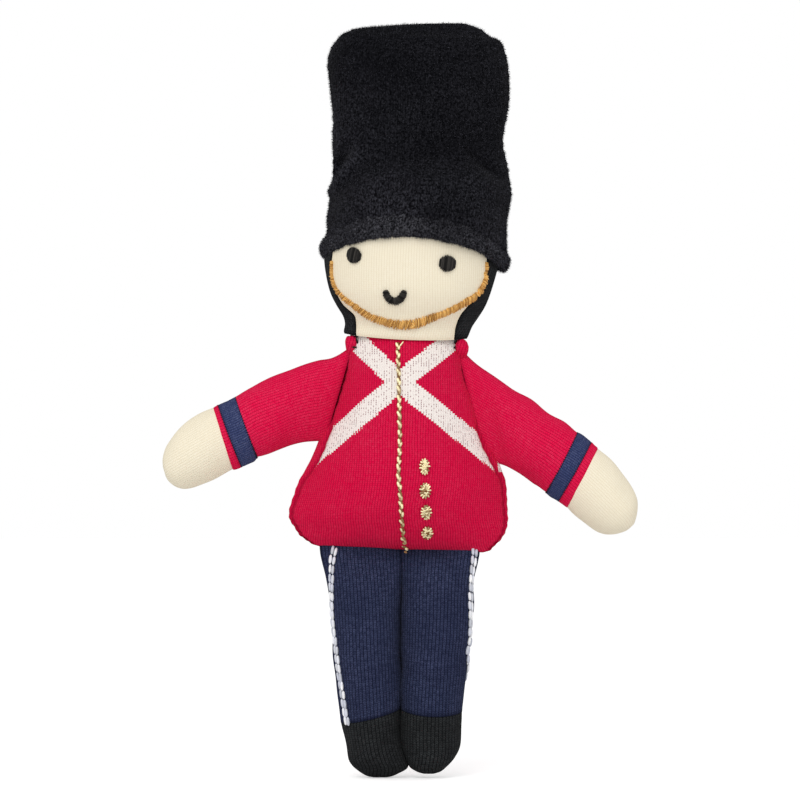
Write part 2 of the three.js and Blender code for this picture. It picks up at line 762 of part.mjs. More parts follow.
// Legs: share of the leg's length from the seam, outer edge, inner edge, depth
const trouserProfile = [
  [0, 1, 0, 0.06], [0.022, 0.98, 0, 0.13], [0.065, 0.945, 0, 0.38], [0.135, 0.902, 0, 0.71],
  [0.27, 0.863, 0, 0.96], [0.42, 0.828, 0, 1], [0.565, 0.785, 0, 0.99],
];
const bootProfile = [
  [0, 0.742, 0, 0.98], [0.32, 0.715, 0, 0.95], [0.585, 0.672, 0.004, 0.9], [0.735, 0.621, 0.025, 0.81],
  [0.865, 0.555, 0.06, 0.64], [0.95, 0.45, 0.12, 0.38], [1, 0.345, 0.2, 0.14],
];
const bootTopWide = bootProfile[0][1];
const bootTopDeep = bootProfile[0][3];

function buildLeg(name, side, bootSlant, stripeTurns, stripeTo) {
  const legRib = (z, outer, inner, deep, slant) => {
    const near = side * (legGap / 2 + legTopWidth * inner);
    const far = side * (legGap / 2 + legTopWidth * outer);
    const nearPoint = point(near, z + slant / 2);
    const farPoint = point(far, z - slant / 2);
    const ends = side > 0 ? [nearPoint, farPoint] : [farPoint, nearPoint];
    return rib(ends[0], ends[1], legHalfDepth * deep);
  };
  const slantAt = (share) => bootSlant * THREE.MathUtils.smoothstep(share, 0.3, 0.7);
  const trouserRibs = trouserProfile.map(([down, outer, inner, deep]) => legRib(
    legTop * (1 - down), outer, inner, deep, slantAt(down),
  ));
  trouserRibs.push(legRib(bootHeight + seat, bootTopWide, 0, bootTopDeep, bootSlant));
  const trouserInner = shrink(trouserRibs.slice(2), wall);
  const trouser = sleeveSkin(wholeRings(trouserRibs), trouserInner, false, true);
  add(`${name}_trouser_leg`, trouser, navyKnit);

  const bootRibs = bootProfile.map(([down, outer, inner, deep]) => legRib(
    bootHeight * (1 - down), outer, inner, deep, bootSlant * Math.max(1 - down * 1.25, 0),
  ));
  const bootInner = shrink(bootRibs.slice(0, -1), wall);
  add(`${name}_boot`, sleeveSkin(wholeRings(bootRibs), bootInner, true, false), blackKnit);

  const coreInset = wall + seat + 0.2;
  const coreRibs = [...trouserRibs.slice(3, -1), ...bootRibs.slice(1, -2)];
  add(`${name}_leg_stuffing`, core(shrink(coreRibs, coreInset)), filling);

  // The stripe follows the outside of the leg, given as turns from the outer edge to the front
  const leg = new Form(trouserRibs);
  const stripePlaces = [];
  const stripeSteps = 16;
  for (let i = 0; i <= stripeSteps; i += 1) {
    const share = i / stripeSteps;
    const t = THREE.MathUtils.lerp(0.2, stripeTo, share);
    const fromSide = THREE.MathUtils.lerp(stripeTurns[0], stripeTurns[1], share ** 0.5);
    const turn = side > 0 ? fromSide : 180 - fromSide;
    stripePlaces.push({
      point: leg.surface(t, turn, limbShape),
      normal: leg.normal(t, turn, limbShape),
    });
  }
  add(`${name}_leg_stripe`, ridge(stripePlaces, stripeWidth, stripeRelief), whiteThread);
}

buildLeg('right', -1, rightBootSlant, [48, 30], 0.97);
buildLeg('left', 1, leftBootSlant, [34, 8], 0.97);

export default doll;
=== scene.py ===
# %% [markdown]
# A knitted guardsman doll, dressed on its CAD frame.
# The real thing is a limp cloth toy: knitted tubes and panels, sewn at their edges and filled with
# loose polyester fibre. The frame says how big each skin is and what it moves with. This notebook
# makes the skins themselves: their knitting, seams, stitches and pile.

# %% Open the frame
import math

import bpy
import numpy as np
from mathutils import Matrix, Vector


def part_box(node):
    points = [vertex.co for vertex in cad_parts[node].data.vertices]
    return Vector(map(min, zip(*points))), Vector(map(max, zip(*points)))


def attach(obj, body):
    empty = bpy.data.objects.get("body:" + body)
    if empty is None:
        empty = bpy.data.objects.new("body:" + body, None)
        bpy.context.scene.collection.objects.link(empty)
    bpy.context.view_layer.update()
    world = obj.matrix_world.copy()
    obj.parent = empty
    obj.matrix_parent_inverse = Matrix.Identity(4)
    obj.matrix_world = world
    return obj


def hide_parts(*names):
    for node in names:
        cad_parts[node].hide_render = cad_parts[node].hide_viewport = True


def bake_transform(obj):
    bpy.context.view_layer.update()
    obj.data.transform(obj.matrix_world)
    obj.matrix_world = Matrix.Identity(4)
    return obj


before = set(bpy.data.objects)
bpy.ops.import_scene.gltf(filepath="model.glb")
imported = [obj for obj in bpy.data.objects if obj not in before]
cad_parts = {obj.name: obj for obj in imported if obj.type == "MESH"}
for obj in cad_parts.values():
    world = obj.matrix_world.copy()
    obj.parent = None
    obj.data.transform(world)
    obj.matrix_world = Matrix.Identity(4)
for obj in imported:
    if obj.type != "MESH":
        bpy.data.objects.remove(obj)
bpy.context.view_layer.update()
mm = 0.001

# %% [markdown]
# The photograph looks straight at the doll's front. A long lens from far away keeps its outline
# nearly as flat as a pattern sheet, so a place measured on the photograph is a place in X and Z.

# %% Camera
view_width = 250 * mm
view_level = 118 * mm
lens = 250
sensor = 36
camera_distance = view_width * lens / sensor
bpy.ops.object.camera_add(
    location=(0, -camera_distance, view_level),
    rotation=(math.radians(90), 0, 0),
)
camera = bpy.context.object
camera.data.lens = lens
camera.data.sensor_width = sensor
bpy.context.scene.camera = camera
bpy.context.scene.view_settings.view_transform = "Standard"
print("camera stands", round(camera_distance, 2), "m in front of the doll")


# %% [markdown]
# Every material is a small graph of nodes. One function adds a node, sets its options and feeds its
# inputs, so that a pattern reads like a sum. Colours are written as they look on a screen, and
# one function turns them into the linear values that the renderer works in.

# %% Nodes and colours
def node(tree, kind, *feeds, named=None, out=0, **settings):
    """Adds a node and returns one of its outputs, or the node itself where out is None."""
    made = tree.nodes.new("ShaderNode" + kind)
    for setting, value in settings.items():
        setattr(made, setting, value)
    for socket, value in [*enumerate(feeds), *(named or {}).items()]:
        if isinstance(value, bpy.types.NodeSocket):
            tree.links.new(value, made.inputs[socket])
        elif value is not None:
            made.inputs[socket].default_value = value
    return made if out is None or not made.outputs else made.outputs[out]


def colour(code):
    """A screen colour such as #c9113c as linear red, green, blue and alpha."""
    parts = [int(code[i:i + 2], 16) / 255 for i in (1, 3, 5)]
    linear = [part / 12.92 if part <= 0.04045 else ((part + 0.055) / 1.055) ** 2.4 for part in parts]
    return (*linear, 1)


def new_material(name):
    """An empty material, and its tree of nodes."""
    material = bpy.data.materials.new(name)
    material.use_nodes = True
    material.node_tree.nodes.clear()
    return material, material.node_tree


def surface(tree, shown, roughness, bumps, finish):
    """Cloth or thread: its colour, its bumps as height, strength and millimetres, and its finish."""
    height, strength, deep = bumps
    bumped = node(tree, "Bump", named={"Height": height, "Strength": strength, "Distance": deep * mm})
    named = {"Base Color": shown, "Roughness": roughness, "Normal": bumped, **finish}
    node(tree, "OutputMaterial", node(tree, "BsdfPrincipled", named=named))


colour_mix = {"data_type": "RGBA", "out": 2}
print("helpers for nodes and colours are ready")

# %% [markdown]
# Plain soft studio light: an even grey world fills the shadows, one wide lamp above the camera
# gives the forms their shape, and a weaker one lifts the side. The background is white only where
# the camera or a reflection looks at it, so it adds no light.

# %% Light
fill_strength = 0.7
key_power = 11.5
side_power = 2.2
lamp_size = 1.0
key_place = Vector((-0.35, -1.25, 1.15))
side_place = Vector((1.3, -0.9, 0.35))
doll_middle = Vector((0, 0, view_level))

world = bpy.data.worlds.new("studio")
bpy.context.scene.world = world
world.use_nodes = True
tree = world.node_tree
tree.nodes.clear()
rays = node(tree, "LightPath", out=None)
seen = rays.outputs["Is Camera Ray"]
for kind in ("Is Glossy Ray", "Is Transmission Ray"):
    seen = node(tree, "Math", seen, rays.outputs[kind], operation="MAXIMUM")
fill = node(tree, "Background", colour("#ffffff"), fill_strength)
white = node(tree, "Background", colour("#ffffff"), 1)
node(tree, "OutputWorld", node(tree, "MixShader", seen, fill, white))


def soft_lamp(name, place, power, size):
    bpy.ops.object.light_add(type="AREA", location=place)
    lamp = bpy.context.object
    lamp.name = name
    lamp.data.energy = power
    lamp.data.size = size
    lamp.rotation_euler = (doll_middle - place).to_track_quat("-Z", "Y").to_euler()


soft_lamp("key_lamp", key_place, key_power, lamp_size)
soft_lamp("side_lamp", side_place, side_power, lamp_size)
print("world and two lamps")

# %% [markdown]
# The floor is plain pale card. For the camera it gets a little extra brightness, so that it meets
# the white background without a line, while the shadow that the doll casts still shows on it.

# %% Floor
floor_width = 6
card_lift = 0.35
card, tree = new_material("white_card")
rays = node(tree, "LightPath", out=None)
paper = node(tree, "BsdfPrincipled", named={"Base Color": colour("#f4f4f4"), "Roughness": 0.9})
glow = node(tree, "Emission", colour("#ffffff"), card_lift)
lifted = node(tree, "AddShader", paper, glow)
node(tree, "OutputMaterial", node(tree, "MixShader", rays.outputs["Is Camera Ray"], paper, lifted))

bpy.ops.mesh.primitive_plane_add(size=floor_width)
floor = bpy.context.object
floor.name = "floor"
floor.data.materials.append(card)
print("floor is", floor.dimensions.x, "m wide")

# %% [markdown]
# Stocking stitch is what knitted fabric shows on its right side: columns of V shapes. A column is
# called a wale and a row a course. Each half of a V is a short slanted piece of yarn, so the
# pattern needs two numbers at each point: how far it lies across the wales and how far along them.
# The skins carry both in millimetres in an attribute called wale, and the shader draws every
# stitch from them, so the columns follow the cloth round each form, however it is stuffed.

# %% Knit pattern
wale_width = 0.84   # measured on the tunic of the photograph
course_height = 0.62
leg_slope = 1.3      # courses that a leg of the V climbs across one wale
leg_waves = 0.8      # a leg and the gap beside it, as a share of a whole wave over one wale
leg_ends = 0.35      # height of the yarn where one stitch slips into the next


def wale_places(tree):
    """A node with how far a point lies across the wales, along them and from a seam, in mm."""
    places = node(tree, "Attribute", attribute_name="wale", out="Vector")
    return node(tree, "SeparateXYZ", places, out=None)


def stitches(tree, place, width, height):
    """Height of the yarn, from 0 to about 1, and the two counts of wales and courses."""
    across = node(tree, "Math", place.outputs[0], width, operation="DIVIDE")
    along = node(tree, "Math", place.outputs[1], height, operation="DIVIDE")
    side = node(tree, "Math", across, 0.5, operation="PINGPONG")
    slanted = node(tree, "Math", side, leg_slope, along, operation="MULTIPLY_ADD")
    leg = node(tree, "Math", side, 2 * math.pi * leg_waves, operation="MULTIPLY")
    leg = node(tree, "Math", leg, operation="SINE")
    bulge = node(tree, "Math", slanted, 0.5, operation="PINGPONG")
    bulge = node(tree, "Math", bulge, 1.3, leg_ends, operation="MULTIPLY_ADD")
    return node(tree, "Math", leg, bulge, operation="MULTIPLY"), across, along


def stitch_tone(tree, across, along):
    """A random number for each stitch, because no two lie quite alike."""
    column = node(tree, "Math", across, operation="FLOOR")
    row = node(tree, "Math", along, operation="FLOOR")
    cell = node(tree, "CombineXYZ", column, row)
    return node(tree, "TexWhiteNoise", cell, noise_dimensions="2D")


print("one stitch is", wale_width, "by", course_height, "mm")

# %% [markdown]
# Knitted cotton is matt, with a soft bloom where its loose fibres catch the light from the side.
# Shade is painted into the gaps between the stitches, and a fine cloud of uneven dye and fuzz lies
# over the yarn. Beside the seams, where two edges are drawn together, painted shade makes it darker
# still.

# %% Knitted cotton
cotton_finish = {"Specular IOR Level": 0.0, "Sheen Weight": 0.02, "Sheen Roughness": 0.5}
seam_shade_reach = 1.5   # millimetres beside a seam that its painted shade reaches


def knitted_cotton(name, yarn, shade_colour, light, width=wale_width, height=course_height, relief=0.22,
                   belts=False):
    """Cotton stocking stitch: the colour of the yarn, the painted shade of its gaps and seams, and the
    colour of its lightest fibres.
    """
    material, tree = new_material(name)
    place = wale_places(tree)
    rise, across, along = stitches(tree, place, width, height)
    spread = node(tree, "TexCoord", out="Object")
    cloud = node(tree, "TexNoise", named={"Vector": spread, "Scale": 90, "Detail": 3})
    fuzz = node(tree, "TexNoise", named={"Vector": spread, "Scale": 2400, "Detail": 2})
    tone = stitch_tone(tree, across, along)
    flecks = node(tree, "MapRange", fuzz, 0.45, 0.75, 0, 0.7)
    lift = node(tree, "Math", tone, 0.35, flecks, operation="MULTIPLY_ADD")
    lift = node(tree, "Math", lift, cloud, operation="MULTIPLY")
    shown = node(tree, "Mix", **colour_mix, named={0: lift, 6: colour(yarn), 7: colour(light)})
    # painted shade in the gaps between the stitches
    gap_shade = node(tree, "MapRange", rise, 0.0, 0.75, 1.0, 0)
    if belts:
        belt, spot = belt_here(tree, across, along)
        shown = belts_over(tree, shown, across, along, belt, spot)
        # in the white belts the painted gap shade is fainter
        belt_gap_shade_scale = node(tree, "MapRange", belt, 0, 1, 1, 0.14)
        gap_shade = node(tree, "Math", gap_shade, belt_gap_shade_scale, operation="MULTIPLY")
    # painted shade in the grooves beside the seams
    seam = node(tree, "MapRange", place.outputs[2], 0, seam_shade_reach, 0.7, 0)
    for share in (gap_shade, seam):
        shown = node(tree, "Mix", **colour_mix, named={0: share, 6: shown, 7: colour(shade_colour)})
    yarn_height = node(tree, "Math", fuzz, 0.35, rise, operation="MULTIPLY_ADD")
    surface(tree, shown, 0.9, (yarn_height, 0.7, relief), cotton_finish)
    return material


# %% [markdown]
# The two white crossbelts are not sewn on. They are knitted in, so their slanting edges climb in
# steps, one stitch at a time. The tunic carries its distance from the middle of each belt as an
# attribute. The shader moves that distance to the middle of the stitch that it is drawing, so a
# whole stitch is either white or red. Small dots show between the white stitches, where the red
# yarn runs behind them.

# %% Crossbelts
belt_half_width = 3.05
belt_slope = math.radians(41)
belt_names = ("belt_from_right", "belt_from_left")


def belt_here(tree, across, along):
    """1 where the middle of the stitch lies in a belt, and the place inside the stitch."""
    spot = [
        node(tree, "Math", node(tree, "Math", count, operation="FRACT"), 0.5, operation="SUBTRACT")
        for count in (across, along)
    ]
    nearest = []
    for name, lean_way in zip(belt_names, (1, -1)):
        away = node(tree, "Attribute", attribute_name=name, out="Fac")
        shifts = (-lean_way * math.sin(belt_slope) * wale_width, -math.cos(belt_slope) * course_height)
        for off, shift in zip(spot, shifts):
            away = node(tree, "Math", off, shift, away, operation="MULTIPLY_ADD")
        nearest.append(node(tree, "Math", away, operation="ABSOLUTE"))
    nearest = node(tree, "Math", *nearest, operation="MINIMUM")
    beyond = node(tree, "Attribute", attribute_name="beyond_panel", out="Fac")
    nearest = node(tree, "Math", beyond, belt_half_width, nearest, operation="MULTIPLY_ADD")
    return node(tree, "Math", nearest, belt_half_width, operation="LESS_THAN"), spot


def belts_over(tree, red, across, along, belt, spot):
    """Lays the knitted-in belts over the red yarn, with a dot between some of the stitches."""
    limits = ((0.32, "GREATER_THAN"), (0.34, "LESS_THAN"))
    beside, level = (
        node(tree, "Math", node(tree, "Math", off, operation="ABSOLUTE"), limit, operation=test)
        for off, (limit, test) in zip(spot, limits)
    )
    between = node(tree, "Math", across, 0.5)
    some = node(tree, "Math", stitch_tone(tree, between, along), 0.55, operation="GREATER_THAN")
    hole = beside
    for share in (level, some, 0.7):
        hole = node(tree, "Math", hole, share, operation="MULTIPLY")
    white_yarn = {0: hole, 6: colour("#f4ede7"), 7: colour("#7d4553")}
    white_yarn = node(tree, "Mix", **colour_mix, named=white_yarn)
    return node(tree, "Mix", **colour_mix, named={0: belt, 6: red, 7: white_yarn})


belted_red_knit = knitted_cotton("red_knit_with_belts", "#df0c43", "#9a032c", "#f24468",
                                 belts=True)
red_knit = knitted_cotton("red_knit", "#e80f48", "#a60430", "#fa4f74", width=0.98)
navy_knit = knitted_cotton("navy_knit", "#272d46", "#0a0c1b", "#5c6488", width=1.12, height=0.72)
black_knit = knitted_cotton("black_knit", "#222324", "#070809", "#525557", width=1.2, height=0.72)
cream_knit = knitted_cotton("cream_knit", "#f0e7d0", "#e2d5ba", "#faf4e4", relief=0.12)
cuff_knit = knitted_cotton("navy_welt", "#36406a", "#161b38", "#7780a6", width=0.75)
print("knits:", red_knit.name, navy_knit.name, black_knit.name, cream_knit.name, cuff_knit.name)

# %% [markdown]
# Velour is knitted with a cut pile. Its ground is ribbed in wales like the other cloth, but each
# wale is a dense brush of fibres that swallows the light, and only the tips, seen from the side,
# shine a little. Sheen gives those tips. The short hairs themselves are geometry, made further on.
# Low on the hat, where the cloth faces up into the light, it is painted lighter, and higher up painted
# darker. Painted shade lies in the creases and dents, and painted light on the ridges of the folds.

# %% Black velour
pile_wale = 0.78
painted_lightest_to = 168 * mm        # up to this level the hat is painted lightest
painted_darkest_from = 222 * mm    # and from this level up it is painted darkest
velour_finish = {"Specular IOR Level": 0.0, "Sheen Weight": 0.04, "Sheen Roughness": 0.4}


def velour(name, base, tip):
    material, tree = new_material(name)
    across = node(tree, "Math", wale_places(tree).outputs[0], pile_wale, operation="DIVIDE")
    rib = node(tree, "Math", across, 0.5, operation="PINGPONG")
    rib = node(tree, "MapRange", rib, 0, 0.5, 0, 1)
    spread = node(tree, "TexCoord", out="Object")
    cloud = node(tree, "TexNoise", named={"Vector": spread, "Scale": 60, "Detail": 4})
    tips = node(tree, "TexNoise", named={"Vector": spread, "Scale": 1500, "Detail": 3})
    specks = node(tree, "MapRange", tips, 0.4, 0.72, 0, 1.3)
    level = node(tree, "SeparateXYZ", spread, out=2)
    # painted light low on the hat and painted shade high on it
    painted_light_by_level = node(tree, "MapRange", level, painted_lightest_to, painted_darkest_from, 1.75, 0.6)
    # painted shade in the creases and dents, painted light on the ridges of the folds
    fold_shade = node(tree, "Attribute", attribute_name="fold_shade", out="Fac")
    fold_shade = node(tree, "MapRange", fold_shade, -1, 1, 1.8, 0.1)
    brushed = node(tree, "TexNoise", named={"Vector": spread, "Scale": 38, "Detail": 1})
    brushed = node(tree, "MapRange", brushed, 0.35, 0.65, 0.7, 1.3)
    lift = node(tree, "Math", rib, 0.45, 0.55, operation="MULTIPLY_ADD")
    for share in (cloud, specks, fold_shade, painted_light_by_level, brushed):
        lift = node(tree, "Math", lift, share, operation="MULTIPLY")
    shown = node(tree, "Mix", **colour_mix, named={0: lift, 6: colour(base), 7: colour(tip)})
    height = node(tree, "Math", tips, 0.6, rib, operation="MULTIPLY_ADD")
    surface(tree, shown, 1.0, (height, 0.8, 0.3), velour_finish)
    return material


black_velour = velour("black_velour", base="#0a0a0d", tip="#424249")
hem_velour = velour("rolled_velour", base="#111114", tip="#56565c")
print("velour ribs are", pile_wale, "mm apart")

# %% [markdown]
# Sewing thread shines along its length, because its fibres lie straight. Each stitch also turns a
# little differently to the light, and that light and shade is painted in: every stitch carries a random
# tone, and the material runs between a dark and a painted light colour by it. The gold one is a metal
# film wound round a core. The white one is a clear film that splits the light faintly into pink and
# blue, and that shimmer is painted on as faint patches of tint.

# %% Threads
def thread(name, dark, light, roughness, metallic=0.0, shine=0.5, shimmer_tint=None, slot=None):
    material, tree = new_material(name)
    tone = node(tree, "Attribute", attribute_name="tone", out="Fac")
    # each stitch is painted lit or shaded by its tone
    shown = node(tree, "Mix", **colour_mix, named={0: tone, 6: colour(dark), 7: colour(light)})
    spread = node(tree, "TexCoord", out="Object")
    if shimmer_tint:
        # the film's shimmer, painted on as patches of tint
        painted_shimmer = node(tree, "TexNoise", named={"Vector": spread, "Scale": 420, "Detail": 1})
        painted_shimmer = node(tree, "MapRange", painted_shimmer, 0.42, 0.62, 0, 0.5)
        shown = node(tree, "Mix", **colour_mix, named={0: painted_shimmer, 6: shown, 7: colour(shimmer_tint)})
    twist = node(tree, "TexNoise", named={"Vector": spread, "Scale": 3200, "Detail": 2})
    finish = {"Metallic": metallic, "Specular IOR Level": shine}
    surface(tree, shown, roughness, (twist, 0.5, 0.08), finish)
    return material


# its light end is near white: the painted highlights of the gold stitches
gold_thread = thread("gold_thread", "#7a4c0c", "#fff3c4", roughness=0.34, metallic=0.3)
tan_thread = thread("tan_thread", "#8f5713", "#fccb77", roughness=0.5, shine=0.3)
black_thread = thread("black_thread", "#0a0908", "#3a3734", roughness=0.45, shine=0.15)
cuff_thread = thread("dark_red_thread", "#14060c", "#4a1228", roughness=0.6, shine=0.1,
                     slot="black_thread")
white_thread = thread("white_thread", "#a9adb9", "#ffffff", roughness=0.3, shimmer_tint="#d9dcec")
print("threads:", gold_thread.name, tan_thread.name, black_thread.name, white_thread.name)

# %% [markdown]
# The filling is loose polyester fibre. The skins hide it, but anyone who takes a skin off sees it,
# so it gets a soft cloudy white of its own. The frame holds it as a solid in each form. Where a
# form bends at a joint, a filling made further on takes that solid's place.

# %% Polyester fibre
fibre, tree = new_material("polyester_fibre")
spread = node(tree, "TexCoord", out="Object")
cloud = node(tree, "TexNoise", named={"Vector": spread, "Scale": 160, "Detail": 6, "Distortion": 1.5})
shades = {0: cloud, 6: colour("#e2e0da"), 7: colour("#ffffff")}
shown = node(tree, "Mix", **colour_mix, named=shades)
surface(tree, shown, 0.95, (cloud, 0.8, 1.0), {"Sheen Weight": 0.3})
stuffings = [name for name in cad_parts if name.endswith("stuffing")]
for name in stuffings:
    bpy.data.objects[name].data.materials.clear()
    bpy.data.objects[name].data.materials.append(fibre)
print("filling in", len(stuffings), "forms")


# %% [markdown]
# Every stuffed form is described by ribs, as the frame's own solids are. A rib is a straight line
# between two points of the outline, seen from the front, with half the form's depth at its
# middle. A smooth curve runs through the ribs, so a few measured ones are enough for a form.

# %% Ribs
def node_box(name):
    """The lowest and the highest corner of a CAD node, in millimetres."""
    low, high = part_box(name)
    return np.array(low) / mm, np.array(high) / mm


def points_of(piece):
    """The points of a piece, in metres."""
    flat = np.empty(len(piece.data.vertices) * 3)
    piece.data.vertices.foreach_get("co", flat)
    return flat.reshape(-1, 3)


def note(piece, name, values):
    """Notes a number, or three, at each point of a piece, for its material to read."""
    kind, field = ("FLOAT", "value") if np.ndim(values) == 1 else ("FLOAT_VECTOR", "vector")
    piece.data.attributes.new(name, kind, "POINT").data.foreach_set(field, np.ravel(values))


def smooth(rows, count):
    """A curve through every row of numbers, read off at an even count of places."""
    rows = np.array(rows, float)
    place = np.linspace(0, len(rows) - 1, count)
    low = np.clip(place.astype(int), 0, len(rows) - 2)
    share = (place - low)[:, None]
    padded = np.vstack([2 * rows[0] - rows[1], rows, 2 * rows[-1] - rows[-2]])
    a, b, c, d = (padded[low + i] for i in range(4))
    return b + 0.5 * share * (c - a + share * (2 * a - 5 * b + 4 * c - d + share * (3 * (b - c) + d - a)))


tunic_low, tunic_high = node_box("tunic_front")
crown_low, crown_high = node_box("hat_crown_front")
tunic_bottom = tunic_low[2]
tunic_top = tunic_high[2]
collar_rise = 2.2   # the cloth of the collar reaches this far above the joint's line
neck = (tunic_top + node_box("face_panel")[0][2]) / 2 + collar_rise
crease = (crown_low[2] + node_box("hat_base_front")[1][2]) / 2
hat_top = crown_high[2]


def level_rib(level, right, left, depth, arch=0, tilt=0):
    """A level rib from the doll's right to its left: its ends, its half depth, its front's rise."""
    fall = (left - right) / 2 * tilt
    return [right, level + fall, left, level - fall, depth, arch]


print("neck at", round(neck, 1), "crease at", round(crease, 1), "top at", round(hat_top, 1), "mm")


# %% [markdown]
# Knitting comes off the machine flat. So each skin starts as a flat grid, and its points are laid
# round the ribs, turn by turn: 0 is the doll's left side, 90 its front and 180 its right side. How
# far each point lies across and along the wales is measured on the laid cloth, and the knit follows
# that. A picture of knitting wrapped round the form would stretch wherever the form is wide.

# %% Points round the ribs
def on_ribs(ribs, turns, puff):
    """Points round each rib. turns is in degrees, one row for each rib."""
    ax, az, bx, bz, depth, arch = (column[:, None] for column in ribs.T)
    along = np.cos(np.radians(turns))
    round_front = np.sin(np.radians(turns))
    x = (ax + bx) / 2 + (bx - ax) / 2 * along
    y = -np.sign(round_front) * depth * np.abs(round_front) ** puff
    z = (az + bz) / 2 + (bz - az) / 2 * along + arch * np.maximum(round_front, 0) ** 1.5
    return np.stack([x, y, z], axis=-1)


def along_points(line):
    """How far each point of a line is from its start, along the line."""
    return np.concatenate([[0], np.cumsum(np.linalg.norm(np.diff(line, axis=0), axis=1))])


def outward(points):
    """Directions that point out of a grid of points."""
    sideways = np.gradient(points, axis=1)
    upward = np.gradient(points, axis=0)
    facing = np.cross(upward, sideways)
    facing /= np.linalg.norm(facing, axis=-1, keepdims=True) + 1e-9
    out = points - points.mean(axis=1, keepdims=True)
    return facing if (facing * out).sum() > 0 else -facing


def measure_wales(points, turns, seam_turn, seam_ends):
    """How far each point lies across and along the wales, and from the nearest seam."""
    steps = np.linalg.norm(np.diff(points, axis=1), axis=-1)
    arc = np.hstack([np.zeros((len(points), 1)), np.cumsum(steps, axis=1)])

    def read(turn):
        each = np.broadcast_to(turn, len(points))
        return np.array([np.interp(*row) for row in zip(each, turns, arc)])[:, None]

    across = np.where((turns <= 180) & (turns[:, :1] < 90), read(90) - arc, arc - read(270))
    middle = points[:, points.shape[1] // (4 if turns[0, -1] > 359 else 2)]
    along = along_points(middle)[:, None] + 0 * across
    seam = np.minimum(np.abs(arc - read(180 - seam_turn)), np.abs(arc - read(seam_turn)))
    seam = np.minimum(seam, np.abs(arc[:, -1:] + read(seam_turn) - arc))
    ends = [along - along[0], along[-1] - along]
    for end, sewn in zip(ends, seam_ends):
        seam = np.minimum(seam, end) if sewn else seam
    return np.stack([across, along, seam], axis=-1)


print("ready to place points round ribs")

# %% [markdown]
# Stuffing shows through cloth as soft lumps, and a needle leaves a groove and puckers beside each
# seam. They could be pushed in by hand with a sculpting brush. Here each is a small push square to
# the cloth, worked out from where a point lies, so that every run gives the same doll.

# %% Lay a skin round its ribs
pucker_reach = 2.6     # how far beside a seam its puckers show, in millimetres
pucker_spacing = 3.4
pucker_drift = 2.5     # the puckers are up to this many radians off their places,
drift_length = 17      # which changes slowly over this many millimetres
groove_reach = 0.8
lumps_fade = 4         # the lumps fade out over this distance from a sewn end


def waves(points, spacing, seed):
    """Soft random rises and hollows between about -1 and 1, one spacing apart."""
    chance = np.random.default_rng(seed)
    total = 0
    for _ in range(7):
        heading = chance.normal(size=3)
        heading *= 2 * math.pi * chance.uniform(0.7, 1.4) / (spacing * np.linalg.norm(heading))
        total = total + np.sin(points @ heading + chance.uniform(0, 2 * math.pi))
    return total / 4


def lay_skin(name, ribs, columns, puff, lumps=(0.3, 14), puckers=0.0, seed=1, edges=(0, 360),
             seam_turn=0, seam_ends=(True, False), groove=0.0, sculpt=None):
    """A flat grid of knitting laid round its ribs, with stuffing lumps, a seam groove and puckers."""
    bpy.ops.object.select_all(action="DESELECT")
    bpy.ops.mesh.primitive_grid_add(x_subdivisions=columns, y_subdivisions=len(ribs) - 1, size=1)
    skin = bpy.context.object
    skin.name = skin.data.name = name
    span = np.linspace(0, 1, columns + 1)[None, :]
    first, last = (np.array(end, float).reshape(-1, 1) for end in edges)
    turns = first + (last - first) * span + np.zeros((len(ribs), 1))
    points = on_ribs(ribs, turns, puff)
    places = measure_wales(points, turns, seam_turn, seam_ends)
    lump = lumps[0] * waves(points, lumps[1], seed)
    rows, from_seam = places[..., 1], places[..., 2]
    drawn = np.exp(-(from_seam / pucker_reach) ** 2)
    uneven = pucker_drift * waves(points * [0, 0, 1], drift_length, seed + 1)
    ripple = np.sin(rows * 2 * math.pi / pucker_spacing + uneven)
    lump = lump + puckers * drawn * ripple - groove * np.exp(-(from_seam / groove_reach) ** 2)
    if sculpt:
        lump = lump + sculpt(points)
    ends = np.minimum(rows - rows.min(), rows.max() - rows)
    lump *= np.clip(ends / lumps_fade, 0, 1)
    points = points + outward(points) * lump[..., None]
    if np.ptp(turns[0]) > 359.9:
        points[:, [0, -1]] = points[:, [0, -1]].mean(axis=1, keepdims=True)   # they are sewn together
    # the grid's points are sorted by column and row, which gives each its place on the ribs
    flat = points_of(skin)
    rank = np.argsort(np.lexsort((flat[:, 0], flat[:, 1])))
    skin.data.vertices.foreach_set("co", (points.reshape(-1, 3) * mm)[rank].ravel())
    note(skin, "wale", places.reshape(-1, 3)[rank])
    note(skin, "turn", turns.ravel()[rank])
    skin.data.update()
    return skin


print("ready to lay skins")

# %% [markdown]
# A bag of cloth is sewn to itself along its long edges and closed at both ends. A panel stays open
# and gets the thickness of its cloth instead, so that its cut edge shows as it does on the doll.
# The filling inside is the same form again, laid a little further in.

# %% Sew a skin and fill it
cloth_thickness = 0.9
sharp_from = math.radians(60)


def face_outward():
    """Turns the faces of the piece that is being made outward."""
    bpy.ops.object.mode_set(mode="EDIT")
    bpy.ops.mesh.select_all(action="SELECT")
    bpy.ops.mesh.normals_make_consistent(inside=False)
    bpy.ops.object.mode_set(mode="OBJECT")


def sew_shut(skin):
    """Sews the grid's long edges together, closes the ends and turns the faces outward."""
    bpy.ops.object.mode_set(mode="EDIT")
    bpy.ops.mesh.select_all(action="SELECT")
    bpy.ops.mesh.remove_doubles(threshold=0.001 * mm)
    bpy.ops.mesh.select_all(action="DESELECT")
    bpy.ops.mesh.select_mode(type="EDGE")
    bpy.ops.mesh.select_non_manifold()
    bpy.ops.mesh.fill_holes(sides=0)
    face_outward()
    bpy.ops.object.shade_smooth_by_angle(angle=sharp_from)
    return skin


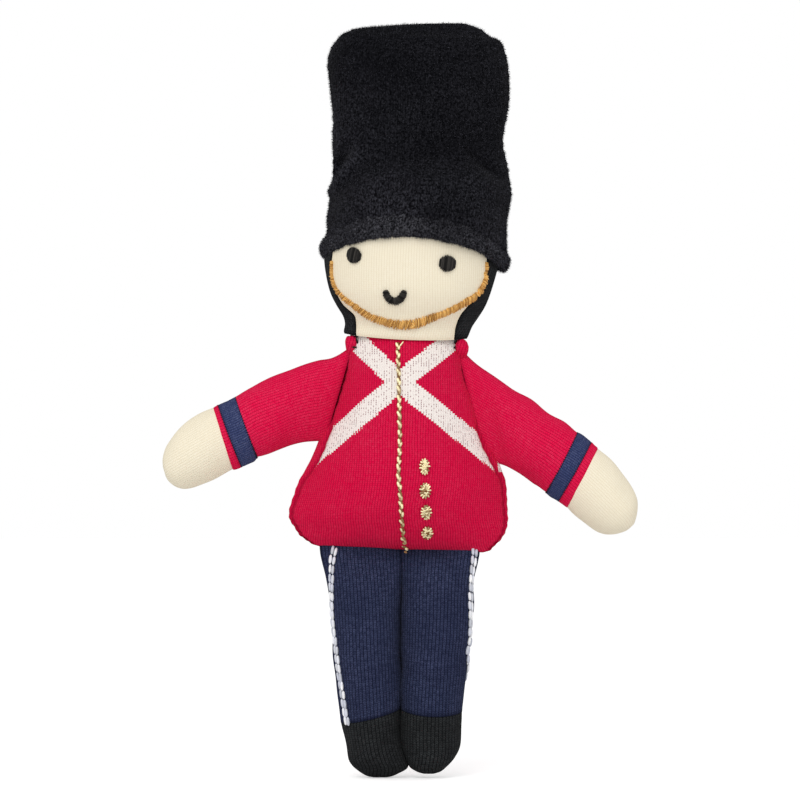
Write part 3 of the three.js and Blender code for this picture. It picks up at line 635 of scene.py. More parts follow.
def cut_out(skin):
    """Gives an open panel the thickness of its cloth, inward."""
    face_outward()
    cloth = skin.modifiers.new("cloth", "SOLIDIFY")
    cloth.thickness = cloth_thickness * mm
    cloth.offset = -1
    bpy.ops.object.modifier_apply(modifier=cloth.name)
    bpy.ops.object.shade_smooth_by_angle(angle=sharp_from)
    return skin


def dress(piece, material):
    """Gives a piece its material."""
    piece.data.materials.clear()
    piece.data.materials.append(material)


def fill_with_fibre(name, ribs, puff, inset=1.4, ends=3):
    """The filling inside a skin: narrower and flatter ribs, without the skin's sewn ends."""
    inner = ribs[ends:-ends].copy()
    way = inner[:, 2:4] - inner[:, :2]
    way *= inset / np.linalg.norm(way, axis=1, keepdims=True)
    inner[:, :2] += way
    inner[:, 2:4] -= way
    inner[:, 4] = np.maximum(inner[:, 4] - inset, 0.3)
    filling = lay_skin(name, inner, 40, puff, lumps=(0.1, 9))
    dress(sew_shut(filling), fibre)
    return filling


print("ready to sew cloth", cloth_thickness, "mm thick")

# %% [markdown]
# The tunic is the body of the doll: narrow at the neck, wide at the hem, fullest low down where the
# filling settles. Its two panels are sewn at the sides, where the seam pulls the edge flat and
# puckers it. At the neck it keeps some depth, because the head is sewn straight on.

# %% Tunic
torso_half_depth = -tunic_low[1]
seam_depth = 0.9   # half depth of a form where it is sewn flat

# millimetres above the lower edge, the outline on the doll's right and left, share of the depth
torso_outline = [
    (-0.7, -25.2, 26, 0), (-0.1, -27.6, 28.2, 0.12), (1.2, -29.7, 29.6, 0.3), (2.8, -31.7, 31.4, 0.46),
    (5.4, -33.2, 33.1, 0.63), (8.5, -34.8, 33.8, 0.79), (12, -34.7, 33.6, 0.91), (16, -33.3, 33.4, 0.98),
    (20.5, -31.7, 33, 1), (25, -29.3, 31.4, 0.98), (29, -27.4, 29.9, 0.95), (33.7, -25.5, 27.9, 0.9),
    (44, -21.4, 24.5, 0.8), (53.2, -18.7, 22, 0.69), (59.9, -17.1, 20.4, 0.58), (63.4, -16.2, 19.5, 0.5),
    (67.5, -15.3, 18.4, 0.37),
]
# the side seams lie in front of the outline: height, and how many degrees
tunic_seam = [(72, 10), (82, 12), (92, 15), (98, 22), (102, 25), (109, 25), (114, 14), (137, 12)]
bottom_tilt = 0.035    # the lower edge hangs a little lower on the doll's left
collar_tilt = 0.043    # and the collar too
torso_ribs = smooth([
    level_rib(
        tunic_bottom + up, right, left, seam_depth + (torso_half_depth - seam_depth) * deep,
        tilt=bottom_tilt * max(1 - up / 11, 0) + collar_tilt * max(up / 8 - 7, 0),
    )
    for up, right, left, deep in torso_outline
], 84)


# where the cloth is drawn in: both ends of each hollow, and how deep it is
pull_lines = [
    ((-14.5, 134), (-19.5, 121), 0.5), ((17.5, 134.5), (22.5, 119), 0.7),
    ((19, 133), (27, 104), 0.5), ((-17, 131), (-25, 106), 0.4),
]
pull_reach = 1.5


def shoulder_pulls(points):
    """Short hollows where the sleeve seams draw the cloth in, and a soft fold below each."""
    x, z = points[..., 0], points[..., 2]
    pull = 0
    for start, end, deep in pull_lines:
        way = np.array(end) - start
        share = np.clip(((x - start[0]) * way[0] + (z - start[1]) * way[1]) / (way @ way), 0, 1)
        off = np.hypot(x - start[0] - share * way[0], z - start[1] - share * way[1])
        bow = np.sin(math.pi * np.clip(share, 0.05, 0.95))
        pull = pull - deep * np.exp(-(off / pull_reach) ** 2) * bow
    return pull * (points[..., 1] < 0)


tunic = lay_skin("tunic", torso_ribs, 120, puff=1.8, lumps=(0.3, 16), puckers=0.16, seed=3,
                 seam_turn=np.interp(torso_ribs[:, 1], *zip(*tunic_seam)), groove=0.7,
                 sculpt=shoulder_pulls)
print("tunic is laid on", len(torso_ribs), "ribs")

# %% [markdown]
# The white belts are no straps. They are knitted into the tunic's front in white yarn. Thin bands
# could be laid on it, but they would hide its wales. So each point of the tunic notes how far it
# lies from the middle of each belt, and the knit changes its colour there, stitch by stitch.

# %% Belts in the knit
def signed_distance(points, line):
    """Distance in the front view from a line of points, positive above it."""
    best = np.full(len(points), 1e9)
    for start, end in zip(line, line[1:]):
        start = np.array(start)
        way = np.array(end) - start
        share = np.clip((points - start) @ way / (way @ way), 0, 1)
        off = points - start - share[:, None] * way
        square = np.array([-way[1], way[0]]) * np.sign(way[0])
        signed = np.linalg.norm(off, axis=1) * np.sign(off @ square + 1e-12)
        best = np.where(np.abs(signed) < np.abs(best), signed, best)
    return best


# the middle of each belt, in X and Z, from a shoulder over the crossing to the other side
crossing = (-0.3, 123.6)
belt_lines = {
    "belt_from_right": [(-17.4, 140), (-13.2, 135.9), crossing, (26.9, 101.8), (33, 97)],
    "belt_from_left": [(18.5, 138.3), (13.75, 134.6), crossing, (-23.9, 103), (-30, 97.6)],
}
points = points_of(tunic) / mm
turn = np.empty(len(points))
tunic.data.attributes["turn"].data.foreach_get("value", turn)
seam = np.interp(points[:, 2], *zip(*tunic_seam))
# one belt runs on round the side under the doll's left arm, the rest ends at the seams
under_arm = (points[:, 0] > 30.2) & (points[:, 1] < 0) & (points[:, 2] > 95)
note(tunic, "beyond_panel", 4.0 * ((turn < seam) | (turn > 180 - seam)) * ~under_arm)
for name, line in belt_lines.items():
    away = signed_distance(points[:, [0, 2]], line)
    if name == "belt_from_left":
        away *= np.interp(points[:, 2], (98, 108), (1.22, 1))   # it narrows towards its lower end
    note(tunic, name, away)
dress(sew_shut(tunic), belted_red_knit)
print("tunic has", len(tunic.data.polygons), "faces")

# %% [markdown]
# A leg is a narrow tube, sewn flat into the tunic's lower seam and full from there down. The boot is
# the same tube in black, with a round toe, and the line between them runs a little uphill.

# %% Leg measures
leg_low, leg_high = node_box("right_trouser_leg")
leg_top = leg_high[2]
leg_half_depth = -leg_low[1]
# how much higher the seam of each boot is on the inside, how much its front sags, and its level
boot_seam = {"right": (4.6, 0.8, 19.4), "left": (0.9, 1.7, 21.1)}
trouser_edge = {"right": -18.5, "left": 19.45}   # the outline at that seam
limb_puff = 1.2

# level, outline on the doll's right and left, where the legs meet, and share of the depth
leg_outline = [
    (leg_top + 2.2, -25.2, 25, 0.3, 0.16), (70.4, -24.8, 24.8, 0.3, 0.26), (67.3, -24.3, 24.2, 0.3, 0.48),
    (62.3, -23.2, 23.4, 0.3, 0.74), (55.5, -22.3, 23, 0.3, 0.92), (49.3, -21.6, 22.7, 0.3, 0.97),
    (43, -21.2, 22, 0.3, 1), (36.8, -20.6, 21.1, 0.3, 1), (30.5, -19.8, 20.4, 0.3, 0.99),
]
# level, outer and inner outline, share of the depth
boot_outline = {
    "right": [
        (13.4, -17.3, 0.1, 0.94), (10.1, -16.8, 0.5, 0.91), (7.8, -16.5, 1.1, 0.86),
        (5.6, -16, 1.9, 0.78), (4.2, -15.2, 2.5, 0.69), (3.2, -14.4, 2.4, 0.58), (2.2, -13.2, 1.4, 0.46),
        (1.3, -11.9, -0.3, 0.33), (0.5, -10.3, -2.2, 0.16), (0.1, -8.4, -4.2, 0.03),
    ],
    "left": [
        (13.4, 19.2, 0, 0.94), (10.3, 18.9, 0.4, 0.91), (8.1, 18.2, 1, 0.86), (5.9, 16.9, 1.8, 0.78),
        (4.4, 15.6, 2.5, 0.68), (3.2, 14.3, 3.3, 0.56), (2.4, 13.4, 4.5, 0.44), (1.7, 12.3, 5.8, 0.28),
        (1.2, 10.6, 7.4, 0.06),
    ],
}
pressed = 0.15   # the legs are pressed together, so their skins share a little


def leg_rib(side, level, outer, inner, deep, slant=0.0, sag=0.0):
    """A rib of a leg, from its outer to its inner outline, written from the right to the left."""
    ends = [[inner, level + slant / 2], [outer, level - slant / 2]][::side]
    return [*ends[0], *ends[1], leg_half_depth * deep, -sag]


print("legs are", round(2 * leg_half_depth, 1), "mm deep and start at", round(leg_top, 1))

# %% [markdown]
# Both legs are made by the same steps from their own measures, as the real ones come from one
# pattern. The trouser's ribs tilt more and more towards the boot, until the last one lies along the
# seam. The boot starts inside the trouser's end, and one filling runs through both.

# %% Legs and boots
sides = {"right": -1, "left": 1}   # the doll's own
trousers = {}
boots = {}
leg_fibres = {}
for name, side in sides.items():
    slant, sag, seam_level = boot_seam[name]
    rows = []
    for level, right, left, inner, deep in leg_outline:
        bend = min(max((50 - level) / 28, 0), 1) ** 2   # the ribs tilt more and more towards the boot
        outer = left if side > 0 else right
        rows.append(leg_rib(side, level, outer, inner - side * pressed, deep, slant * bend, sag * bend))
    edge = trouser_edge[name]
    rows.append(leg_rib(side, seam_level, edge, 0.2 - side * pressed, 0.98, slant, sag))
    trouser_ribs = smooth(rows, 60)
    trouser = lay_skin(f"{name}_trouser", trouser_ribs, 56, limb_puff, lumps=(0.3, 12), seed=5 + side,
                       seam_ends=(True, True))
    dress(sew_shut(trouser), navy_knit)
    trousers[name] = trouser

    # the boot starts inside the trouser's end
    edge -= side * 0.1
    rows = [leg_rib(side, seam_level + 0.9, edge - side * 0.4, 0.2 + side * 0.3, 0.93, slant, sag),
            leg_rib(side, seam_level - 0.2, edge, 0.2, 0.965, slant, sag)]
    for level, outer, inner, deep in boot_outline[name]:
        bend = max(level - 8, 0) / 14
        rows.append(leg_rib(side, level, outer, inner - side * 0.05, deep, slant * bend, sag * bend))
    boot_ribs = smooth(rows, 40)
    boot = lay_skin(f"{name}_boot_knit", boot_ribs, 56, limb_puff, lumps=(0.15, 9), seed=9 + side)
    dress(sew_shut(boot), black_knit)
    boots[name] = boot
    inside = np.vstack([trouser_ribs[4:-4], boot_ribs[6:]])
    leg_fibres[name] = fill_with_fibre(f"{name}_leg_fibre", inside, limb_puff)
print("legs are filled by", [filling.name for filling in leg_fibres.values()])

# %% [markdown]
# The head is a round pouch of two panels. The cream face panel comes forward from behind the chin to
# inside the hat, and the black panel wraps the back, so that a black band shows on both sides.

# %% Head
head_half_depth = 18.2
hem_above_neck = 26.4
brow_rise = 7.5
head_puff = 1.25

# millimetres above the neck, the outline on the doll's right and left, share of the depth
head_outline = [
    (0, -17.4, 20.9, 0.49), (1, -17.6, 21.5, 0.52), (3.5, -17.3, 22.7, 0.57), (6.4, -17.9, 24.7, 0.68),
    (9.9, -19.9, 26.9, 0.8), (13.9, -21.9, 28.6, 0.9), (18.9, -23.2, 30, 0.97), (24.8, -23.6, 31.4, 1),
    (31.8, -22.4, 32.6, 1),
]
# where the face panel ends on the doll's left and on its right, in turns, for the same ribs
face_edge = [
    (38, 143), (40, 143), (43, 145), (44, 146), (39, 155), (33, 157), (29, 159), (33, 154), (34, 150),
]


def brow(up):
    """How far the ribs of the face rise in front: they follow the brow, and sag at the chin."""
    start = 13
    chin_sag = 1.3 * max(1 - up / 6, 0)
    return brow_rise * min(max((up - start) / (hem_above_neck - start), 0), 1) - chin_sag


head_ribs = smooth([
    level_rib(neck + up, right, left, seam_depth + (head_half_depth - seam_depth) * deep,
              brow(up), collar_tilt * max(1 - up / 7, 0))
    for up, right, left, deep in head_outline
], 52)
panel_edges = smooth(face_edge, 52)
face = lay_skin("face", head_ribs, 72, head_puff, edges=(panel_edges[:, 0], panel_edges[:, 1]),
                lumps=(0.2, 15), seed=21)
dress(cut_out(face), cream_knit)
head_back = lay_skin("head_back_knit", head_ribs, 96, head_puff,
                     edges=(panel_edges[:, 1] + 1, panel_edges[:, 0] + 359), lumps=(0.2, 15), seed=21)
dress(cut_out(head_back), black_knit)
print("face has", len(face.data.polygons), "faces")

# %% [markdown]
# The hat is one tall bag of velour over the top of the head. It is full at the head, creases where
# the head ends, and above that stands a flatter cushion, square at the top. Below, its edge is
# rolled up into a soft hem that rises over the brow.

# %% Hat measures
hem_height = 7.2
hem_level = neck + hem_above_neck
hat_bottom = hem_level + hem_height / 2 - 2
hem_tilt = 0.065

# level, the outline on the doll's right and left, half depth, and share of the brow's rise
hat_outline = [
    (hat_bottom, -22.9, 33.4, 19, 1), (173.5, -23.2, 33.8, 19.6, 0.75), (177.4, -22.5, 34, 19.4, 0.55),
    (180.5, -21.9, 34.5, 19, 0.42), (183.6, -21.7, 34.5, 18.3, 0.27), (186.8, -21.2, 33.9, 17, 0.12),
    (189.9, -20.8, 33.5, 14.8, 0.03), (crease, -20.6, 33.1, 12.4, 0), (196.1, -20.5, 32.7, 11.6, 0),
    (199.3, -20.5, 32.4, 11.4, 0), (202.4, -20.5, 32.5, 11.6, 0), (205.5, -20.5, 33, 12.1, 0),
    (211.8, -21.2, 34, 13, 0), (218, -21.8, 34.3, 13.4, 0), (223.3, -22.3, 33.8, 12.7, 0),
    (227.4, -21.5, 32.7, 11, 0),
]
hat_rows = [
    level_rib(level, right, left, deep, brow_rise * rise, hem_tilt * rise)
    for level, right, left, deep, rise in hat_outline
]
# the top edge slopes: it peaks over the doll's left eye and falls to the corner beside it
hat_rows += [
    [-19, hat_top - 3.9, 31.4, hat_top - 5.1, 8.8, 0],
    [-16.2, hat_top - 2.1, 28, hat_top - 3.5, 6.4, 0],
    [-12.6, hat_top - 1.1, 24.5, hat_top - 1.1, 3.9, 0.2],
    [-7, hat_top - 0.6, 20.5, hat_top + 0.4, 1, 0.4],
]
print("hat is", round(hat_top - hat_bottom, 1), "mm tall")

# %% [markdown]
# A bag that isn't full folds. One fold slants down on the doll's right, and a crease and a dent cut
# in on its left. A cloth simulation would fold it too, but at places of its own. So each fold is a
# push along a slanting line, where the photo shows it, and the filling stands clear of them.

# %% Hat
def crease_line(x, z, start, end, middle, reach):
    """How far a point lies beside a slanting line, and how near to the line's middle part."""
    way = (np.array(end) - start) / math.dist(start, end)
    past = (x - start[0]) * way[0] + (z - start[1]) * way[1]
    off = (x - start[0]) * way[1] - (z - start[1]) * way[0]
    return off, np.exp(-((past - middle) / reach) ** 2)


def hat_folds(points):
    """The slanting fold on the doll's right, and the crease and the dent on its left."""
    x, y, z = points[..., 0], points[..., 1], points[..., 2]
    off, near = crease_line(x, z, (-22.9, 183.4), (-15.8, 194), 6, 7.5)
    fold = near * (2 * np.exp(-((off - 1.3) / 1.7) ** 2) - 3 * np.exp(-((off + 1.7) / 1.8) ** 2))
    off, near = crease_line(x, z, (21, 196), (34, 185.5), 10, 6)
    fold = fold - 1.3 * near * np.exp(-(off / 1.9) ** 2)
    dent = -0.6 * np.exp(-((x - 33) / 9) ** 2 - ((z - 197.5) / 6) ** 2)
    sag = -1.1 * np.exp(-((x - 12) / 16) ** 2 - ((z - 197) / 5) ** 2)
    return (fold + sag) * (y < 0) + dent


hat_ribs = smooth(hat_rows, 110)
hat = lay_skin("hat", hat_ribs, 132, head_puff, lumps=(0.5, 20), puckers=0.08, seed=31,
               sculpt=hat_folds)
# painted shade in the hollows of the folds and painted light on their ridges, for the velour
fold_shade = np.clip(-hat_folds(points_of(hat) / mm) / 2, -1, 1)
note(hat, "fold_shade", fold_shade)
dress(sew_shut(hat), black_velour)

# the hat bends at its crease, so the filling of the crown starts below the bend, as the skin does
fibre_split = crease - 10
clear_of_folds = 3.4
fold_level, fold_reach, fold_depth = 189, 7, 6
inner_ribs = hat_ribs.copy()
inner_ribs[:, 0] += fold_depth * np.exp(-((hat_ribs[:, 1] - fold_level) / fold_reach) ** 2)
in_crown = inner_ribs[hat_ribs[:, 1] > fibre_split]
crown_fibre = fill_with_fibre("crown_fibre", in_crown, head_puff, inset=clear_of_folds)
above_head = (hat_ribs[:, 1] > head_ribs[-1, 1] + 1) & (hat_ribs[:, 1] < fibre_split)
in_head = np.vstack([head_ribs, inner_ribs[above_head]])
head_fibre = fill_with_fibre("head_fibre", in_head, head_puff, inset=clear_of_folds)
print("hat has", len(hat.data.polygons), "faces")

# %% [markdown]
# The hem is a rolled edge, a soft ring as thick as a pencil lead and three times as high. A torus has
# the right faces for it. Its points are then laid along the line where the hat ends on the head,
# so the ring rises over the brow, and a few lumps show where the roll is stitched down.

# %% Hat hem
hem_thickness = 2.4
around = 200
section = 18
hem_rib = np.array([level_rib(hem_level, -22, 31.3, head_half_depth, brow_rise, hem_tilt)])
line = on_ribs(hem_rib, np.linspace(0, 360, around, endpoint=False)[None, :], head_puff)[0]
sideways = np.roll(line, -1, axis=0) - np.roll(line, 1, axis=0)
away = np.cross(sideways, [0, 0, 1])
away /= np.linalg.norm(away, axis=1, keepdims=True)
away *= np.sign((away * (line - line.mean(axis=0))).sum())
bpy.ops.object.select_all(action="DESELECT")
bpy.ops.mesh.primitive_torus_add(
    major_segments=around, minor_segments=section,
    major_radius=head_half_depth * mm, minor_radius=hem_height / 2 * mm,
)
hem = bpy.context.object
hem.name = hem.data.name = "hat_hem_roll"
angle = np.linspace(0, 2 * math.pi, section, endpoint=False)[None, :, None]
# it is rolled outward, so its upper part lies closer to the hat than its lower edge
reach = -0.4 + (hem_thickness + 0.8) / 2 * (1 + np.cos(angle)) * (1 - 0.5 * np.clip(np.sin(angle), 0, 1))
places = line[:, None] + away[:, None] * reach + [0, 0, 1] * np.sin(angle) * hem_height / 2
stitched_down = 0.35 * waves(places * [1, 1, 0.3], 9, 41)[..., None]
stitched_down = stitched_down + 0.38 * waves(places * [1, 1, 0.5], 2.8, 43)[..., None]
places = places + away[:, None] * stitched_down + [0, 0, 0.6] * stitched_down * np.sin(angle)
# its end hangs lower on the doll's left
places[..., 2] -= 0.8 * np.clip((places[..., 0] - 26) / 6, 0, 1)
hem.data.vertices.foreach_set("co", (places * mm).ravel())
arc = along_points(line)
wale = np.broadcast_arrays(arc[:, None], angle[..., 0] * hem_height / 3, 9)
note(hem, "wale", np.stack(wale, axis=-1))
face_outward()
bpy.ops.object.shade_smooth()
dress(hem, hem_velour)
print("hem is", round(float(np.ptp(places[..., 2])), 1), "mm from its ears to its brow")

# %% [markdown]
# A sleeve is sewn flat into the side of the tunic and swells towards the cuff. Then come a raised
# navy welt, a narrow red rim and the cream hand, a mitten with a round end. The two arms hang
# differently, so each has its own ribs. A rib is given by its lower and its upper end, in X and Z.

# %% Arm measures
arm_half_depth = 8.6
arms = {
    "right": {
        "shoulder": (105.1, 134.2), "sewn_in": (2.4, 1.8),
        "sleeve": [
            (-27.2, 105, -20.9, 131.4), (-30.3, 104.7, -25.6, 130.3), (-33.8, 103.8, -30.6, 128.8),
            (-37.2, 102.6, -35.6, 126.8), (-40.6, 101.4, -41.2, 124.6), (-43.1, 100.7, -46.6, 122.2),
            (-44.7, 100.2, -51.4, 119),
        ],
        "welt": [
            (-44.2, 100.8, -50.5, 118.3), (-44.7, 99.8, -51.4, 118.9), (-45.6, 98.6, -52.8, 118.4),
            (-47.5, 97.7, -55, 117.4), (-49.4, 97.1, -56.7, 116.5), (-49.8, 97.3, -57.2, 116),
        ],
        "rim": [
            (-49.4, 97.5, -56.7, 116), (-49.7, 96.9, -57, 116.4), (-50.8, 96.4, -57.6, 116),
            (-52, 96.2, -58.2, 115.7), (-52.3, 96.6, -58.5, 115.2),
        ],
        "hand": [
            (-51.2, 97.4, -57.7, 115.3), (-52.2, 96.5, -58.3, 115.6), (-55.8, 94.5, -60.8, 114.7),
            (-59, 92.7, -63.4, 113.4), (-62.2, 91.3, -66.2, 111.6), (-65, 90.5, -69, 109.1),
            (-67.8, 90.3, -71.3, 106.4), (-70.2, 91, -73.2, 103.3), (-72.2, 92.6, -74.1, 99.8),
            (-73.2, 94.1, -74.1, 97.1),
        ],
    },
    "left": {
        "shoulder": (99.2, 134.2), "sewn_in": (4.6, 2.2),
        "sleeve": [
            (31.9, 97.8, 25.3, 128.4), (34.3, 96.8, 29.7, 124.9), (36.9, 95.1, 34.7, 122.1),
            (39.4, 93.2, 39.7, 118.9), (41.6, 91.7, 44.7, 115.4), (43.6, 90.7, 50, 111.9),
            (45.8, 89.1, 55.4, 107.8),
        ],
        "welt": [
            (45.3, 90, 54.7, 107.2), (45.7, 88.9, 55.5, 107.8), (46.7, 88, 56.9, 107.2),
            (48.1, 87.2, 58.4, 106.1), (49.4, 86.4, 59.7, 104.9), (49.8, 86.8, 59.7, 104.1),
        ],
        "rim": [
            (49.3, 87, 59.4, 104.1), (49.6, 86.3, 59.9, 104.8), (50.8, 85.3, 60.8, 103.9),
            (52.1, 84.4, 61.7, 103.1), (52.4, 84.9, 61.7, 102.5),
        ],
        "hand": [
            (51.2, 85.8, 60.6, 103), (52.1, 84.6, 61.6, 102.9), (54.1, 82.5, 63.9, 101.2),
            (56.4, 80.5, 67, 98.1), (59.2, 78.3, 69.8, 94.6), (61.5, 76.9, 72, 91.4),
            (63.8, 76.1, 73.8, 88.2), (65.8, 75.9, 74.4, 85.9), (67.9, 76.1, 74.2, 83),
            (70.2, 76.9, 73.3, 79.8), (71.4, 77.6, 72.7, 78.8),
        ],
    },
}

# half depths along each piece, as shares of the greatest
arm_depths = {
    "sleeve": (0.28, 0.5, 0.72, 0.88, 0.97, 1, 0.96, 0.9),
    "welt": (0.84, 0.9, 0.94, 0.94, 0.9, 0.84),
    "rim": (0.82, 0.89, 0.9, 0.86, 0.78),
    "hand": (0.8, 0.86, 0.91, 0.92, 0.9, 0.85, 0.76, 0.62, 0.42, 0.05),
}
# the knit of each piece, how many ribs it is laid on, and the height and spacing of its lumps
arm_looks = {
    "sleeve": (red_knit, 44, (0.35, 13)), "welt": (cuff_knit, 24, (0.2, 7)),
    "rim": (red_knit, 18, (0.2, 5)), "hand": (cream_knit, 34, (0.2, 11)),
}
print("each arm is measured at", sum(len(arms["right"][piece]) for piece in arm_looks), "ribs")

# %% [markdown]
# The sleeve's first rib is the shoulder seam. It lies a little inside the tunic's outline, so it is
# read off the tunic's own ribs. The same steps then make every piece of both arms.

# %% Arms
arm_pieces = {}
arm_ribs = {}
shoulder_seams = {}
for name, side in sides.items():
    arm = arms[name]
    torso_edge = torso_ribs[:, 0 if side < 0 else 2]
    low, top = (
        np.array([np.interp(level, torso_ribs[:, 1], torso_edge) - side * inside, level])
        for level, inside in zip(arm["shoulder"], arm["sewn_in"])
    )
    shoulder_seams[name] = top, low
    arm["sleeve"].insert(0, (*low, *(top + [0, 0.8])))
    made = {}
    ribs = {}
    for index, (piece, (material, count, lumps)) in enumerate(arm_looks.items()):
        rows = arm[piece]
        depths = arm_depths[piece]
        places = np.linspace(0, len(depths) - 1, len(rows))
        depth = arm_half_depth * np.interp(places, range(len(depths)), depths)
        ribs[piece] = smooth([[*row, deep, 0] for row, deep in zip(rows, depth)], count)
        made[piece] = lay_skin(f"{name}_{piece}_skin", ribs[piece], 72, limb_puff, lumps=lumps,
                               seed=50 + 2 * index + side, seam_ends=(True, piece == "welt"))
        dress(sew_shut(made[piece]), material)
    inside = np.vstack([ribs["sleeve"][5:-2], ribs["hand"][4:]])
    made["filling"] = fill_with_fibre(f"{name}_arm_fibre", inside, limb_puff)
    arm_pieces[name] = made
    arm_ribs[name] = ribs
print("arms:", [piece.name for piece in arm_pieces["right"].values()])

# %% [markdown]
# Embroidery is many short stitches that lie side by side. One stitch is modelled, a small rounded
# length of thread, and every other is a copy of it with its own place, length and tone. Each place
# is found by looking from the front at the cloth: a ray meets the skin there and also says which
# way the skin faces, so that the thread lies on it.

# %% One stitch and its copies
bpy.ops.mesh.primitive_uv_sphere_add(segments=8, ring_count=7, radius=0.5, rotation=(0, math.pi / 2, 0))
bpy.ops.object.transform_apply(location=False, rotation=True, scale=False)
stitch_points = points_of(bpy.context.object)
stitch_faces = [tuple(face.vertices) for face in bpy.context.object.data.polygons]
# its two ends are made blunt
stitch_points[:, 0] = np.sign(stitch_points[:, 0]) * np.abs(2 * stitch_points[:, 0]) ** 0.65 / 2
bpy.data.objects.remove(bpy.context.object)
look_from = 60   # millimetres from the doll's middle, outside all of it


def on_cloth(skins, x, z, beside=None):
    """Where a look from the front first meets one of the skins, and which way the skin faces.

    With beside, a Y, the look comes from the doll's left instead, at that Y.
    """
    start = Vector((x, -look_from, z) if beside is None else (look_from, beside, z)) * mm
    look = Vector((0, 1, 0) if beside is None else (-1, 0, 0))
    looks = [skin.ray_cast(start, look) for skin in skins]
    hits = [(place, facing) for hit, place, facing, _ in looks if hit]
    if not hits:
        _, place, facing, _ = skins[0].closest_point_on_mesh(Vector((x, 0, z)) * mm)
        hits = [(place, facing)]
    place, facing = min(hits, key=lambda found: (found[0] - start).length)
    return np.array(place) / mm, np.array(facing)


def laid(place, facing, way, size, lift=0.0):
    """A 4 by 4 matrix: a model's X lies along way, its Z out of the cloth, its size is in mm."""
    facing = facing / np.linalg.norm(facing)
    along = way - facing * (way @ facing)
    along /= np.linalg.norm(along)
    across = np.cross(facing, along)
    matrix = np.eye(4)
    matrix[:3, 0] = along * size[0]
    matrix[:3, 1] = across * size[1]
    matrix[:3, 2] = facing * size[2]
    matrix[:3, 3] = place + facing * lift
    return matrix


def new_piece(name, points, faces, tones, material):
    """A piece from its points, in millimetres, its faces and the tones of its equal parts."""
    mesh = bpy.data.meshes.new(name)
    mesh.from_pydata((points * mm).tolist(), [], faces)
    piece = bpy.data.objects.new(name, mesh)
    bpy.context.collection.objects.link(piece)
    note(piece, "tone", np.repeat(tones, len(points) // len(tones)))
    dress(piece, material)
    return piece


def embroider(name, matrices, tones, thread):
    """One piece of copies of the stitch, one for each matrix, each with its own tone."""
    moved = [stitch_points @ matrix[:3, :3].T + matrix[:3, 3] for matrix in matrices]
    faces = [
        tuple(index + copy * len(stitch_points) for index in face)
        for copy in range(len(matrices)) for face in stitch_faces
    ]
    piece = new_piece(name, np.vstack(moved), faces, tones, thread)
    piece.data.shade_smooth()
    return piece


bpy.context.view_layer.update()
chance = np.random.default_rng(7)
print("one stitch has", len(stitch_faces), "faces")

# %% [markdown]
# A chain of gold thread runs down the middle of the tunic. Each of its stitches is a loop that
# holds the next, so it is a row of long links. Each link is laid from a few copies of the stitch.

# %% Gold chain
chain_line = smooth([
    (-0.6, 135.9), (-0.3, 123.6), (0, 105.6), (-0.4, 96), (0.06, 89.2), (0.55, 82.1), (0.95, 76.8),
    (1.8, 71.9),
], 400)
chain_pitch = 2.72
chain_width = 1.45


def along_line(line, pitch):
    """Places one pitch apart on a line of X and Z, each with the way on from it."""
    arc = along_points(line)
    at = np.arange(pitch / 2, arc[-1], pitch)
    where, ahead = (
        np.stack([np.interp(at + on, arc, line[:, i]) for i in (0, 1)], axis=1) for on in (0, 0.05)
    )
    return [
        (x, z, np.array([dx, 0, dz]) / math.hypot(dx, dz))
        for (x, z), (dx, dz) in zip(where, ahead - where)
    ]


matrices = []
tones = []
right = np.array([1, 0, 0])
for x, z, way in along_line(chain_line, chain_pitch):
    place, facing = on_cloth([tunic], x, z)
    lean = chance.uniform(-0.1, 0.3)
    wide = chain_width * chance.uniform(0.85, 1.1)
    shift = chance.uniform(-0.35, 0.35)
    # each link is a core painted dark as shade, two strands painted bright as highlights and the stitch
    # that holds them: how far on and aside it lies, its slope, its length, width, height and lift, and
    # the limits of its painted tone
    for on, aside, slope, long, broad, high, lift, dull, bright in (
        (0, 0, 0, (chain_pitch * 1.1,), 1.25, 0.9, 0.2, 0, 0.2),
        (shift - 0.55, -0.2, lean + 0.2, (1.6, 2.1), 0.86, 1.1, 0.55, 0.7, 1),
        (shift + 0.35, 0.2, lean - 0.3, (1.4, 1.9), 0.8, 1.1, 0.55, 0.3, 1),
        (1.05, -0.12, 0.9, (1.1,), 0.5, 0.8, 0.55, 0, 0.25),
    ):
        length = chance.uniform(*long) if len(long) > 1 else long[0]
        spot = place + right * aside * wide + way * on
        matrices.append(laid(spot, facing, way + right * slope, (length, broad, high), lift))
        tones.append(chance.uniform(dull, bright))
tail, tail_facing = on_cloth([tunic], 0.5, 135.2)
matrices.append(laid(tail, tail_facing, np.array([0.6, 0, 1.0]), (2.2, 0.5, 0.6), 0.5))
tones.append(0.9)
chain = embroider("placket_chain", matrices, tones, gold_thread)
print(len(matrices), "threads in the chain")

# %% [markdown]
# The four buttons beside it are knots of the same thread. Short stitches point outward at the edge
# of a round. Those inside it lie any way, and fill it evenly like the seeds of a sunflower.

